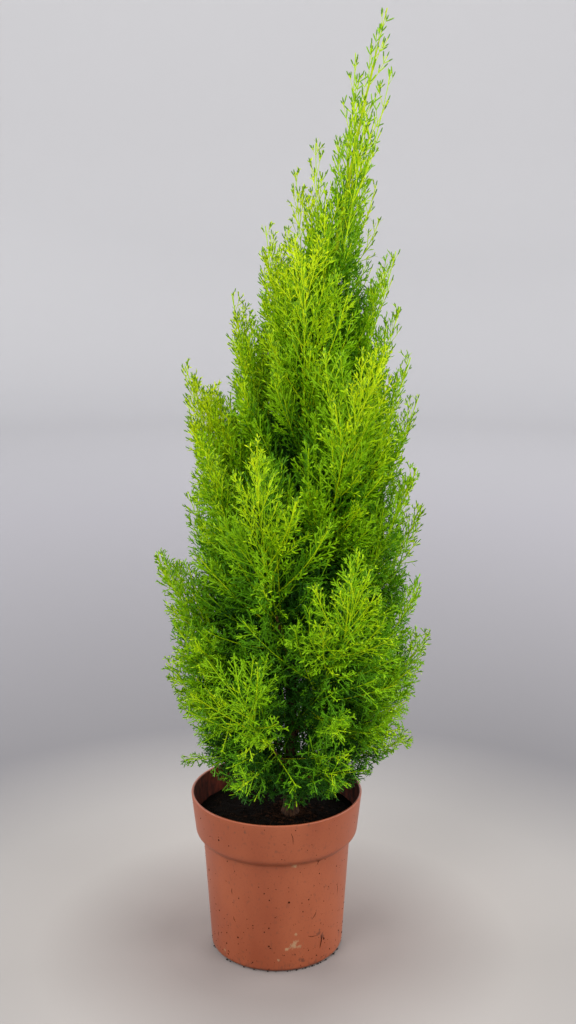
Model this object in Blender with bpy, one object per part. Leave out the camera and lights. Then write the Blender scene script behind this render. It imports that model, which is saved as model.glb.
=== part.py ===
"""A potted lemon cypress: a plastic pot of soil, one leaning leader, ascending boughs and plumes of foliage.

Metres, +Z up. The origin is the centre of the pot's flat underside. +X is to the right and -Y to the
front. The leader leans towards +X. Azimuths are in degrees from +X towards +Y.
"""
import math
import random

import bmesh
import bpy
import numpy as np
from mathutils import Vector
from mathutils.bvhtree import BVHTree

# Clear space kept between neighbouring solids
GAP = 0.0003
SEAT_GAP = 0.00032

# Pot. The shoulder under its band is in shares of its step out and its height, and the notches' arch is in
# shares of their width and height.
POT_SIDES = 40
POT_HEIGHT = 0.2035
RIM_RADIUS = 0.105
BAND_FOOT_RADIUS = 0.100
BAND_HEIGHT = 0.056
NECK_RADIUS = 0.0905
FOOT_RADIUS = 0.082
FOOT_ROUND = 0.006
BAND_ROUND = 0.010
BAND_SHOULDER = ((0.0, -0.5), (0.25, 0.0), (0.85, 0.5), (1.0, 1.0))
BAND_WALL_DROP = 0.004
LIP_THICKNESS = 0.003
LIP_ROUND = 0.0012
WALL_THICKNESS = 0.0016
FLOOR_THICKNESS = 0.003
NOTCH_COUNT = 3
NOTCH_AZIMUTH = -132.0
NOTCH_WIDTH = 0.036
NOTCH_DEPTH = 0.010
NOTCH_HEIGHT = 0.0028
NOTCH_ARCH = ((-0.5, -0.5), (0.5, -0.5), (0.5, 0.0), (0.3, 0.75), (0.0, 1.0), (-0.3, 0.75), (-0.5, 0.0))
RIM_ROOM = 0.004
TERRACOTTA = (0.40, 0.115, 0.045)

# Soil
SOIL_LEVEL = 0.172
SOIL_EDGE_DROP = 0.002
SOIL_PAD_RADIUS = 0.036
SOIL_GAP = 0.0009
SOIL_BROWN = (0.012, 0.008, 0.006)

# Leader
TREE_HEIGHT = 1.117
TRUNK_FOOT_X = 0.017
TRUNK_LEAN = 0.105
TRUNK_LEAN_POWER = 2.25
TRUNK_SWAY = 0.006
TRUNK_RADIUS = 0.0068
TRUNK_TAPER_POWER = 0.8
TRUNK_TIP_RADIUS = 0.0005
FLARE_RADIUS = 0.0045
FLARE_HEIGHT = 0.012
TRUNK_SIDES = 8
TRUNK_RINGS = 14
TRUNK_RING_POWER = 1.4
BARK_BROWN = (0.16, 0.075, 0.035)

# Shoots that make the crown's outline: tip height, azimuth, reach from the leader's axis
LEADER_SHOOTS = (
    (1.073, 176, 0.023), (1.057, -12, 0.021), (1.025, 95, 0.026), (1.000, -85, 0.032),
)
LEFT_SHOOTS = (
    (0.978, 186, 0.046), (0.948, 160, 0.066), (0.889, 188, 0.086), (0.813, 174, 0.113), (0.731, 181, 0.155),
    (0.640, 203, 0.130), (0.571, 163, 0.146), (0.510, 184, 0.172), (0.435, 200, 0.150), (0.365, 178, 0.156),
    (0.300, 158, 0.128), (0.245, 186, 0.131),
)
RIGHT_SHOOTS = (
    (0.861, 2, 0.069), (0.797, 16, 0.090), (0.743, -10, 0.106), (0.691, 6, 0.124), (0.620, -20, 0.134),
    (0.559, 12, 0.148), (0.480, -14, 0.150), (0.406, 2, 0.166), (0.335, 22, 0.140), (0.274, -6, 0.148),
)

# Shoots that fill the crown's front and back
FILL_COUNT = 12
FILL_TOP = 0.905
FILL_STEP = 0.0575
FILL_SWING = 24.0
CROWN_HALF_WIDTH = ((0.28, 0.130), (0.35, 0.150), (0.48, 0.164), (0.70, 0.128), (0.82, 0.097), (0.92, 0.053))

# Short shoots that droop over the soil
DROOP_AZIMUTHS = (-128, -84, -38, 62, 128)
DROOP_TIP = 0.196
DROOP_REACH = 0.080

# Path of a shoot, from the leader to its tip
CROWN_FOOT = 0.203
RISE_SHARE = 0.85
OUT_SHARE = 0.60
UP_SHARE = 0.30
ARCH = 0.055
ARCH_FADE = 7
BOUGH_SHARE = 0.16
BOUGH_REACH_LIMIT = 0.142
LIMB_RADIUS = 0.0010
LIMB_RADIUS_PER_LENGTH = 0.0075
LIMB_END_RADIUS = 0.0005
BOUGH_SIDES = 5
BOUGH_RINGS = 3
STEM_SIDES = 3
STEM_RINGS = 5
PATH_STEPS = 24
LEAVE_STEP = 0.001
SEAT_REACH = 0.03
SEAT_HALVINGS = 40

# Sprays on a shoot's stem
SPRAY_SPAN = (0.08, 0.92)
SPRAY_SPACING = 0.0262
SPRAY_TURN = 137.5
SPRAY_TRIES = 5
SPRAY_TRY_TURN = 31.0
SPRAY_LEAN = (34.0, 52.0)
SPRAY_LENGTH = 0.088
SPRAY_VARIATION = (0.9, 1.1)
SPRAY_FADE = 0.48
SPRAY_SHRINK = 0.9
SPRAY_SHORTEST = 0.024
SPRAY_TWO_PAIRS = 0.043
SPRAY_THICKNESS = 0.0013
SPACE_MARGIN = 0.0012
OUTER_ROOM = 0.006
FULL_SHOOT = 0.28
SMALLEST_SIZE = 0.35
TOOTH_ANGLE = math.radians(40.0)
TOOTH_FEET = {1: (0.34,), 2: (0.24, 0.49)}
TOOTH_LENGTH = 0.52
TOOTH_SHORTENING = 0.15
TOOTH_WIDTH = 0.19
RIB_WIDTH = 0.026
RIB_STEPS = 6
LIME_GREEN = (0.33, 0.52, 0.02)

# Core of a dense shoot
CORE_SIDES = 5
CORE_RADIUS = 0.0105
CORE_RINGS = (0.08, 0.36, 0.72)
CORE_SHAPE = (0.75, 1.0, 0.62)
CORE_ENDS = (0.02, 0.94)
CORE_REACH_LIMIT = 0.085
CORE_MARGIN = 0.0025
CORE_LEAST = 1.15

SEED = 1117


def clear_scene():
    for item in list(bpy.data.objects):
        bpy.data.objects.remove(item, do_unlink=True)


def make_material(name, colour, roughness):
    material = bpy.data.materials.new(name)
    material.use_nodes = True
    shader = material.node_tree.nodes["Principled BSDF"]
    shader.inputs["Base Color"].default_value = (*colour, 1.0)
    shader.inputs["Roughness"].default_value = roughness
    shader.inputs["Metallic"].default_value = 0.0
    return material


def make_object(name, vertices, faces, material):
    """An object from closed geometry, with its faces turned outwards."""
    mesh = bpy.data.meshes.new(name)
    mesh.from_pydata([tuple(v) for v in vertices], [], faces)
    shell = bmesh.new()
    shell.from_mesh(mesh)
    bmesh.ops.recalc_face_normals(shell, faces=shell.faces)
    shell.to_mesh(mesh)
    shell.free()
    mesh.materials.append(material)
    result = bpy.data.objects.new(name, mesh)
    bpy.context.scene.collection.objects.link(result)
    return result


def turned(name, profile, sides, material):
    """A closed body turned round the z axis. The profile is (radius, height), and radius 0 is a pole."""
    vertices, faces, rings = [], [], []
    for radius, height in profile:
        first = len(vertices)
        if radius == 0:
            vertices.append((0.0, 0.0, height))
            rings.append([first])
            continue
        for k in range(sides):
            angle = 2 * math.pi * k / sides
            vertices.append((radius * math.cos(angle), radius * math.sin(angle), height))
        rings.append(list(range(first, first + sides)))
    for lower, upper in zip(rings, rings[1:]):
        for k in range(sides):
            n = (k + 1) % sides
            if len(lower) == 1:
                faces.append((lower[0], upper[k], upper[n]))
            elif len(upper) == 1:
                faces.append((lower[k], lower[n], upper[0]))
            else:
                faces.append((lower[k], lower[n], upper[n], upper[k]))
    return make_object(name, vertices, faces, material)


def sweep(name, points, radii, sides, side, material, seat=None):
    """A closed limb along points, starting its rings at side. A last radius of 0 is a point.

    With seat, the first ring is moved along the limb onto what the seat gives.
    """
    vertices, faces, rings = [], [], []
    for k, point in enumerate(points):
        before, after = points[max(k - 1, 0)], points[min(k + 1, len(points) - 1)]
        tangent = (after - before).normalized()
        first = len(vertices)
        if radii[k] == 0:
            vertices.append(point)
            rings.append([first])
            continue
        corners = ring_corners(point, tangent, side, radii[k], sides)
        vertices += [seat(corner, tangent) for corner in corners] if seat and k == 0 else corners
        rings.append(list(range(first, first + sides)))
    for lower, upper in zip(rings, rings[1:]):
        for n in range(sides):
            m = (n + 1) % sides
            if len(upper) == 1:
                faces.append((lower[n], lower[m], upper[0]))
            else:
                faces.append((lower[n], lower[m], upper[m], upper[n]))
    middle = len(vertices)
    vertices.append(seat(points[0], (points[1] - points[0]).normalized()) if seat else points[0])
    for n in range(sides):
        faces.append((rings[0][(n + 1) % sides], rings[0][n], middle))
    if len(rings[-1]) > 1:
        faces.append(tuple(rings[-1]))
    return make_object(name, vertices, faces, material)


def ring_corners(centre, tangent, side, radius, sides):
    """Corners round a centre, square to the tangent, the first one towards side."""
    first = (side - tangent * side.dot(tangent)).normalized()
    second = tangent.cross(first)
    angles = [2 * math.pi * n / sides for n in range(sides)]
    return [centre + radius * (math.cos(a) * first + math.sin(a) * second) for a in angles]


def fuse(pieces):
    """One body from overlapping pieces, by a union on a collection, which is applied and emptied."""
    base, rest = pieces[0], pieces[1:]
    group = bpy.data.collections.new(base.name + "_pieces")
    bpy.context.scene.collection.children.link(group)
    for piece in rest:
        bpy.context.scene.collection.objects.unlink(piece)
        group.objects.link(piece)
    union = base.modifiers.new("union", "BOOLEAN")
    union.operation = "UNION"
    union.operand_type = "COLLECTION"
    union.collection = group
    for solver in ("EXACT", "MANIFOLD"):
        union.solver = solver
        graph = bpy.context.evaluated_depsgraph_get()
        fused = bpy.data.meshes.new_from_object(base.evaluated_get(graph))
        if keep_outer_shell(fused):
            break
    base.modifiers.clear()
    base.data = fused
    for piece in rest:
        bpy.data.objects.remove(piece, do_unlink=True)
    bpy.data.collections.remove(group)
    return base


def keep_outer_shell(mesh):
    """Keeps the largest shell, which fills sealed hollows and drops loose scraps."""
    body = bmesh.new()
    body.from_mesh(mesh)
    bmesh.ops.triangulate(body, faces=body.faces)
    waiting = set(body.faces)
    shells = []
    while waiting:
        shell, edge_of_shell = set(), [waiting.pop()]
        while edge_of_shell:
            face = edge_of_shell.pop()
            shell.add(face)
            for edge in face.edges:
                for neighbour in edge.link_faces:
                    if neighbour in waiting:
                        waiting.remove(neighbour)
                        edge_of_shell.append(neighbour)
        shells.append(shell)
    shells.sort(key=shell_volume)
    scraps = [face for shell in shells[:-1] for face in shell]
    bmesh.ops.delete(body, geom=scraps, context="FACES")
    closed = all(edge.is_manifold for edge in body.edges)
    body.to_mesh(mesh)
    body.free()
    return closed


def shell_volume(shell):
    """The signed volume inside a shell of triangles."""
    total = 0.0
    for face in shell:
        a, b, c = (corner.co for corner in face.verts)
        total += a.dot(b.cross(c)) / 6
    return total


# Leader

def height_share(z):
    return max(0.0, min(1.0, (z - SOIL_LEVEL) / (TREE_HEIGHT - SOIL_LEVEL)))


def trunk_point(z):
    share = height_share(z)
    x = TRUNK_FOOT_X + TRUNK_LEAN * share ** TRUNK_LEAN_POWER
    return Vector((x, TRUNK_SWAY * math.sin(math.pi * share), z))


def trunk_radius(z):
    taper = (1 - height_share(z)) ** TRUNK_TAPER_POWER
    flare = FLARE_RADIUS * math.exp(-(z - SOIL_LEVEL) / FLARE_HEIGHT)
    return TRUNK_TIP_RADIUS + TRUNK_RADIUS * taper + flare


def trunk_clearance(point):
    """How far a point is from the leader's surface, measured level."""
    axis = trunk_point(point[2])
    return math.hypot(point[0] - axis.x, point[1] - axis.y) - trunk_radius(point[2])


def outside_by(bark_surface, point):
    """How far a point is outside the leader's faces, or less than 0 inside them."""
    place, normal, _, distance = bark_surface.find_nearest(point)
    return distance if (point - place).dot(normal) > 0 else -distance


def on_trunk(corner, direction):
    """The point on a line where it comes clear of the leader by the seat's gap."""
    low, high = -SEAT_REACH, SEAT_REACH
    for _ in range(SEAT_HALVINGS):
        middle = (low + high) / 2
        if trunk_clearance(corner + middle * direction) < SEAT_GAP:
            low = middle
        else:
            high = middle
    return corner + high * direction


def make_trunk(material):
    foot = SOIL_LEVEL + GAP
    shares = [k / (TRUNK_RINGS - 1) for k in range(TRUNK_RINGS)]
    heights = [foot + (TREE_HEIGHT - foot) * share ** TRUNK_RING_POWER for share in shares]
    radii = [trunk_radius(z) for z in heights[:-1]] + [0]
    return sweep("trunk", [trunk_point(z) for z in heights], radii, TRUNK_SIDES, Vector((0, 1, 0)), material)


# Shoots

def crown_half_width(z):
    """The crown's half width at a height, on straight lines between the named widths."""
    heights, widths = zip(*CROWN_HALF_WIDTH)
    return float(np.interp(z, heights, widths))


def shoot_table():
    """Every shoot as tip height, azimuth and reach, from the top of the crown down."""
    shoots = list(LEADER_SHOOTS + LEFT_SHOOTS + RIGHT_SHOOTS)
    for k in range(FILL_COUNT):
        tip = FILL_TOP - FILL_STEP * k
        facing = -90.0 if k % 2 else 90.0
        swing = FILL_SWING if (k // 2) % 2 else -FILL_SWING
        shoots.append((tip, facing + swing, crown_half_width(tip)))
    for azimuth in DROOP_AZIMUTHS:
        shoots.append((DROOP_TIP, azimuth, DROOP_REACH))
    return sorted(shoots, reverse=True)


def even_shares(low, high, count):
    return [low + (high - low) * k / max(count - 1, 1) for k in range(count)]


class Shoot:
    """A shoot's path from the leader's axis to its tip: out first, and then up."""

    def __init__(self, tip_height, azimuth, reach, bark_surface):
        crown = TREE_HEIGHT - CROWN_FOOT
        share = max(0.0, (tip_height - CROWN_FOOT) / crown)
        self.start = trunk_point(CROWN_FOOT + RISE_SHARE * crown * share ** 2)
        angle = math.radians(azimuth)
        self.end = trunk_point(tip_height) + reach * Vector((math.cos(angle), math.sin(angle), 0))
        step = self.end - self.start
        arch = ARCH * (1 - share) ** ARCH_FADE
        self.bend = self.start + Vector((OUT_SHARE * step.x, OUT_SHARE * step.y, UP_SHARE * step.z + arch))
        self.side = Vector((step.y, -step.x, 0)).normalized()
        self.reach = reach
        points = self.path(0.0, 1.0, PATH_STEPS)
        self.length = sum((b - a).length for a, b in zip(points, points[1:]))
        self.has_bough = reach > BOUGH_REACH_LIMIT
        self.has_core = reach > CORE_REACH_LIMIT
        self.root_share = self.leave_leader(bark_surface)
        self.stem_share = self.root_share + BOUGH_SHARE if self.has_bough else self.root_share

    def point(self, t):
        return (1 - t) ** 2 * self.start + 2 * t * (1 - t) * self.bend + t ** 2 * self.end

    def tangent(self, t):
        return ((1 - t) * (self.bend - self.start) + t * (self.end - self.bend)).normalized()

    def radius(self, t):
        thick = LIMB_RADIUS + LIMB_RADIUS_PER_LENGTH * self.length
        return LIMB_END_RADIUS + (thick - LIMB_END_RADIUS) * (1 - t)

    def path(self, low, high, count):
        return [self.point(t) for t in even_shares(low, high, count)]

    def on_stem(self, share):
        """The share of the whole path at a share of the stem."""
        return self.stem_share + share * (1 - self.stem_share)

    def leave_leader(self, bark_surface):
        """The share of the path at which a limb's flat end has come out of the leader."""
        sides = BOUGH_SIDES if self.has_bough else STEM_SIDES
        t, gap = 0.0, 0.0
        while gap < SEAT_GAP:
            t += LEAVE_STEP
            corners = ring_corners(self.point(t), self.tangent(t), self.side, self.radius(t), sides)
            middles = [a.lerp(b, 0.5) for a, b in zip(corners, corners[1:] + corners[:1])]
            gap = min(outside_by(bark_surface, place) for place in corners + middles)
        return t


def path_distances(points, path):
    """The distance of each point to a path, whose corners are joined by straight runs."""
    starts = np.array(path[:-1])
    runs = np.array(path[1:]) - starts
    gaps = points[:, None, :] - starts[None, :, :]
    shares = np.clip((gaps * runs).sum(-1) / (runs ** 2).sum(-1), 0.0, 1.0)
    return np.linalg.norm(gaps - shares[..., None] * runs, axis=-1).min(axis=1)


def clear_of_pot(point, margin):
    """Whether a point is above the rim, or over the soil and inside the wall."""
    out = math.hypot(point[0], point[1])
    over_soil = point[2] > SOIL_LEVEL + GAP + margin and out < RIM_RADIUS - LIP_THICKNESS - RIM_ROOM
    return over_soil or point[2] > POT_HEIGHT + GAP + margin


class Crown:
    """The shoots, and which space belongs to which."""

    def __init__(self, bark_surface):
        self.shoots = [Shoot(*row, bark_surface) for row in shoot_table()]
        self.stems = [s.path(s.stem_share, 1.0, PATH_STEPS // 2) for s in self.shoots]
        self.boughs = [s for s in self.shoots if s.has_bough]

    def free(self, points, owner, margin):
        """Whether points are all in their owner's space, and clear of the limbs, the pot and the soil."""
        for point in points:
            if trunk_clearance(point) < GAP + margin or not clear_of_pot(point, margin):
                return False
        shoot = self.shoots[owner]
        for point in points:
            axis = trunk_point(point[2])
            if math.hypot(point[0] - axis.x, point[1] - axis.y) > shoot.reach + OUTER_ROOM:
                return False
        places = np.array([tuple(point) for point in points])
        own = path_distances(places, self.stems[owner])
        for k, stem in enumerate(self.stems):
            if k != owner and (path_distances(places, stem) < own + 2 * margin).any():
                return False
        for bough in self.boughs:
            path = bough.path(bough.root_share, bough.stem_share, PATH_STEPS // 4)
            if (path_distances(places, path) < bough.radius(bough.root_share) + GAP + margin).any():
                return False
        return True


# Foliage

def spray_outline(length, pairs):
    """A toothed spray as (along, across): a rib, and pairs of teeth that point forward on both sides."""
    teeth = []
    for k, foot in enumerate(TOOTH_FEET[pairs]):
        reach = TOOTH_LENGTH - TOOTH_SHORTENING * k
        teeth.append((foot + reach * math.cos(TOOTH_ANGLE), reach * math.sin(TOOTH_ANGLE)))
        teeth.append((foot + TOOTH_WIDTH, RIB_WIDTH))
    mirrored = [(along, -over) for along, over in reversed(teeth)]
    return [(length * along, length * over) for along, over in [(0, 0)] + teeth + [(1, 0)] + mirrored]


def make_spray(corners, normal, material):
    """A closed blade: the outline on both faces, and a wall round it."""
    half = normal * SPRAY_THICKNESS / 2
    count = len(corners)
    vertices = [corner + half for corner in corners] + [corner - half for corner in corners]
    faces = [tuple(range(count)), tuple(reversed(range(count, 2 * count)))]
    faces += [(k, k + count, (k + 1) % count + count, (k + 1) % count) for k in range(count)]
    return make_object("spray", vertices, faces, material)


def spray_at(crown, owner, t, turn, rng):
    """The longest spray at t and turn that stays in its shoot's space: its length, corners and normal."""
    shoot = crown.shoots[owner]
    tangent = shoot.tangent(t)
    angle = math.radians(turn)
    out = math.cos(angle) * shoot.side + math.sin(angle) * tangent.cross(shoot.side)
    lean = math.radians(rng.uniform(*SPRAY_LEAN))
    direction = (math.cos(lean) * tangent + math.sin(lean) * out).normalized()
    first = direction.cross(tangent).normalized()
    roll = rng.uniform(0, math.pi)
    flat = math.cos(roll) * first + math.sin(roll) * direction.cross(first)
    share = (t - shoot.stem_share) / (1 - shoot.stem_share)
    size = min(1.0, SMALLEST_SIZE + (1 - SMALLEST_SIZE) * shoot.length / FULL_SHOOT)
    length = SPRAY_LENGTH * size * (1.0 - SPRAY_FADE * share) * rng.uniform(*SPRAY_VARIATION)
    root = shoot.point(t)
    while length > SPRAY_SHORTEST:
        outline = spray_outline(length, 2 if length > SPRAY_TWO_PAIRS else 1)
        corners = [root + along * direction + over * flat for along, over in outline]
        edges = [a.lerp(b, 0.5) for a, b in zip(corners[1:-1], corners[2:])]
        rib = [root + direction * length * k / RIB_STEPS for k in range(1, RIB_STEPS)]
        if crown.free(corners[1:] + edges + rib, owner, SPACE_MARGIN):
            return length, corners, direction.cross(flat)
        length *= SPRAY_SHRINK
    return 0.0, None, None


def make_core(crown, owner, material):
    """A slim core round a dense shoot's stem, its corners drawn in until they are in the shoot's space."""
    shoot = crown.shoots[owner]
    vertices = []
    for share, width in zip(CORE_RINGS, CORE_SHAPE):
        t = shoot.on_stem(share)
        centre = shoot.point(t)
        least = CORE_LEAST * shoot.radius(t)
        for out in ring_corners(Vector((0, 0, 0)), shoot.tangent(t), shoot.side, 1.0, CORE_SIDES):
            radius = CORE_RADIUS * width * min(1.0, shoot.length / FULL_SHOOT)
            while radius > least and not crown.free([centre + radius * out], owner, CORE_MARGIN):
                radius *= SPRAY_SHRINK
            vertices.append(centre + max(radius, least) * out)
    faces = []
    for low in range(0, len(vertices) - CORE_SIDES, CORE_SIDES):
        for n in range(CORE_SIDES):
            m = (n + 1) % CORE_SIDES
            faces.append((low + n, low + m, low + m + CORE_SIDES, low + n + CORE_SIDES))
    bottom, top = len(vertices), len(vertices) + 1
    for n in range(CORE_SIDES):
        m = (n + 1) % CORE_SIDES
        faces.append((m, n, bottom))
        faces.append((bottom - CORE_SIDES + n, bottom - CORE_SIDES + m, top))
    vertices += [shoot.point(shoot.on_stem(share)) for share in CORE_ENDS]
    return make_object("core", vertices, faces, material)


def make_foliage(crown, owner, material, rng):
    """One mass: a stem, a core where the shoot is dense, and the sprays that grow from the stem."""
    shoot = crown.shoots[owner]
    low = shoot.stem_share + (GAP / shoot.length if shoot.has_bough else 0.0)
    shares = even_shares(low, 1.0, STEM_RINGS)
    radii = [shoot.radius(t) for t in shares[:-1]] + [0]
    points = [shoot.point(t) for t in shares]
    pieces = [sweep("foliage_%02d" % (owner + 1), points, radii, STEM_SIDES, shoot.side, material)]
    if shoot.has_core:
        pieces.append(make_core(crown, owner, material))
    count = int((1 - shoot.stem_share) * shoot.length / SPRAY_SPACING)
    turn = rng.uniform(0, 360)
    for share in even_shares(*SPRAY_SPAN, count):
        t = shoot.on_stem(share)
        turn += SPRAY_TURN
        tries = [spray_at(crown, owner, t, turn + SPRAY_TRY_TURN * k, rng) for k in range(SPRAY_TRIES)]
        length, corners, normal = max(tries, key=lambda found: found[0])
        if length:
            pieces.append(make_spray(corners, normal, material))
    return fuse(pieces)


def make_bough(shoot, number, material):
    shares = even_shares(shoot.root_share, shoot.stem_share, BOUGH_RINGS)
    points = [shoot.point(t) for t in shares]
    radii = [shoot.radius(t) for t in shares]
    return sweep("bough_%02d" % number, points, radii, BOUGH_SIDES, shoot.side, material, seat=on_trunk)


# Pot and soil

def inner_wall():
    """The inside of the pot as (radius, height), from the floor's edge up to the rim."""
    band = POT_HEIGHT - BAND_HEIGHT
    return [
        (FOOT_RADIUS - FOOT_ROUND, FLOOR_THICKNESS),
        (FOOT_RADIUS - WALL_THICKNESS, FLOOR_THICKNESS + FOOT_ROUND),
        (NECK_RADIUS - WALL_THICKNESS, band - BAND_WALL_DROP),
        (BAND_FOOT_RADIUS - WALL_THICKNESS, band + BAND_ROUND),
        (RIM_RADIUS - LIP_THICKNESS, POT_HEIGHT - LIP_ROUND),
    ]


def outer_wall():
    """The outside of the pot as (radius, height), from its underside up to the rim."""
    band = POT_HEIGHT - BAND_HEIGHT
    step = BAND_FOOT_RADIUS - NECK_RADIUS
    in_from_corner = FOOT_ROUND * (1 - math.sqrt(0.5))
    foot = [
        (0.0, 0.0),
        (FOOT_RADIUS - FOOT_ROUND, 0.0),
        (FOOT_RADIUS - in_from_corner, in_from_corner),
        (FOOT_RADIUS, FOOT_ROUND),
    ]
    shoulder = [(NECK_RADIUS + out * step, band + up * BAND_ROUND) for out, up in BAND_SHOULDER]
    lip = [
        (RIM_RADIUS - LIP_ROUND / 2, POT_HEIGHT - 2 * LIP_ROUND),
        (RIM_RADIUS, POT_HEIGHT - LIP_ROUND),
        (RIM_RADIUS - LIP_ROUND / 2, POT_HEIGHT),
        (RIM_RADIUS - LIP_THICKNESS + LIP_ROUND, POT_HEIGHT),
    ]
    return foot + shoulder + lip


def make_pot(material):
    profile = outer_wall() + inner_wall()[::-1] + [(0.0, FLOOR_THICKNESS)]
    pot = turned("pot", profile, POT_SIDES, material)
    for k in range(NOTCH_COUNT):
        cut = pot.modifiers.new("notch_%d" % k, "BOOLEAN")
        cut.operation = "DIFFERENCE"
        cut.object = make_notch(math.radians(NOTCH_AZIMUTH + 360 * k / NOTCH_COUNT), material)


def make_notch(angle, material):
    """The cutter of one drain notch in the pot's foot: a low arch that runs in from the wall."""
    along = Vector((math.cos(angle), math.sin(angle), 0))
    wide = Vector((-math.sin(angle), math.cos(angle), 0))
    corners = []
    for out in (FOOT_RADIUS - FOOT_ROUND - NOTCH_DEPTH, FOOT_RADIUS + NOTCH_DEPTH):
        for x, z in NOTCH_ARCH:
            corners.append(out * along + x * NOTCH_WIDTH * wide + Vector((0, 0, z * NOTCH_HEIGHT)))
    count = len(NOTCH_ARCH)
    faces = [tuple(range(count)), tuple(range(count, 2 * count))]
    faces += [(k, (k + 1) % count, (k + 1) % count + count, k + count) for k in range(count)]
    cutter = make_object("notch_cutter", corners, faces, material)
    cutter.hide_render = True
    cutter.display_type = "WIRE"
    return cutter


def make_soil(material):
    wall = [(radius - SOIL_GAP, height) for radius, height in inner_wall()]
    (low_radius, low), (high_radius, high) = wall[-2:]
    edge = SOIL_LEVEL - SOIL_EDGE_DROP
    edge_radius = low_radius + (high_radius - low_radius) * (edge - low) / (high - low)
    profile = [(0.0, FLOOR_THICKNESS + GAP), (wall[0][0], FLOOR_THICKNESS + GAP)] + wall[1:-1]
    profile += [(edge_radius, edge), (SOIL_PAD_RADIUS, SOIL_LEVEL), (0.0, SOIL_LEVEL)]
    return turned("soil", profile, POT_SIDES, material)


def main():
    clear_scene()
    make_pot(make_material("terracotta_plastic", TERRACOTTA, 0.45))
    make_soil(make_material("soil", SOIL_BROWN, 0.95))
    bark = make_material("bark", BARK_BROWN, 0.85)
    leaf = make_material("lime_foliage", LIME_GREEN, 0.55)
    trunk = make_trunk(bark)
    crown = Crown(BVHTree.FromObject(trunk, bpy.context.evaluated_depsgraph_get()))
    rng = random.Random(SEED)
    for owner, shoot in enumerate(crown.shoots):
        if shoot.has_bough:
            make_bough(shoot, owner + 1, bark)
        make_foliage(crown, owner, leaf, rng)


main()
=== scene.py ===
"""The looks of a potted lemon cypress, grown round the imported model.

Metres, +Z up. The origin is the centre of the pot's flat underside, +X is right and -Y is the front.
The crown repeats the model's own rule for its shoots, and carries it on to side shoots, branchlets and the
small scale leaves on them. Azimuths are in degrees from +X towards +Y.
"""

import math
from collections import namedtuple
from itertools import combinations

import bpy
import numpy as np
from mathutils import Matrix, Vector, noise


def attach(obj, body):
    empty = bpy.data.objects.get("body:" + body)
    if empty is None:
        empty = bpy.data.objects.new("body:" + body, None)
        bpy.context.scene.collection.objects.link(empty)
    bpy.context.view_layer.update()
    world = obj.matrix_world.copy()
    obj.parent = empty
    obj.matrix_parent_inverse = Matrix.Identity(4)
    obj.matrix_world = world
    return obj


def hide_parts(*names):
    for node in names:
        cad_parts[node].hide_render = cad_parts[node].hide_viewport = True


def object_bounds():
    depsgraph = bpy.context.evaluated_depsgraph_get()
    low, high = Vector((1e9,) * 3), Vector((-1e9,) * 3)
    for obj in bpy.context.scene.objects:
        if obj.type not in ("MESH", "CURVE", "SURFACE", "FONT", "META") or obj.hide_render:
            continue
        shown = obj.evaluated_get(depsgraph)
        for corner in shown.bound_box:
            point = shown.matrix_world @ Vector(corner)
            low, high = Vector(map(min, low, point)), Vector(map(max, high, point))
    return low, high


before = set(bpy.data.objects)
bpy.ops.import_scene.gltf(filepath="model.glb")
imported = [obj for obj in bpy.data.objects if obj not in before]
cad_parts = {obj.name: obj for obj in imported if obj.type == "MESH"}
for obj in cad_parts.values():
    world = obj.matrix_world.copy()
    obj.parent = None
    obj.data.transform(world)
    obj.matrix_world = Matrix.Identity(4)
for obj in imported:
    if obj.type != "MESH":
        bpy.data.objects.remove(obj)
CAD_LOW, CAD_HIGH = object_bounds()

SEED = 12
UP = np.array([0.0, 0.0, 1.0])

# Camera, as it stood for the photograph. Its focal length is in pixels of the frame, 576 by 1024.
CAMERA_PLACE = (0.0141, -1.589, 0.924)
CAMERA_PITCH = 13.10
CAMERA_FOCAL = 1384.0
FRAME_HEIGHT = 1024.0
SENSOR_WIDTH = 36.0

# Pot
POT_SIDES = 160
POT_HEIGHT = 0.2035
RIM_RADIUS = 0.105
BAND_FOOT_RADIUS = 0.100
BAND_HEIGHT = 0.056
BAND_ROUND = 0.010
BAND_WALL_DROP = 0.004
NECK_RADIUS = 0.0905
FOOT_RADIUS = 0.082
FOOT_ROUND = 0.006
LIP_THICKNESS = 0.003
LIP_ROUND = 0.0012
WALL_THICKNESS = 0.0016
FLOOR_THICKNESS = 0.003
NOTCH_COUNT = 3
NOTCH_AZIMUTH = -132.0
NOTCH_WIDTH = 0.036
NOTCH_DEPTH = 0.010
NOTCH_HEIGHT = 0.0028
NOTCH_SLOPE = 0.0002

# Soil
SOIL_LEVEL = 0.172
SOIL_EDGE_DROP = 0.002
SOIL_GAP = 0.0009
SOIL_FOOT_GAP = 0.0003
SOIL_LUMP = 0.014
SOIL_RELIEF = 0.0016
SOIL_GRAIN = 0.0035
GRAIN_RELIEF = 0.0006

# Leader
TREE_HEIGHT = 1.117
TRUNK_FOOT_X = 0.017
TRUNK_LEAN = 0.105
TRUNK_LEAN_POWER = 2.25
TRUNK_SWAY = 0.006
TRUNK_RADIUS = 0.0068
TRUNK_TAPER_POWER = 0.8
TRUNK_TIP_RADIUS = 0.0005
FLARE_RADIUS = 0.0045
FLARE_HEIGHT = 0.012
LEADER_TOP_FOOT = 0.86

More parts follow.
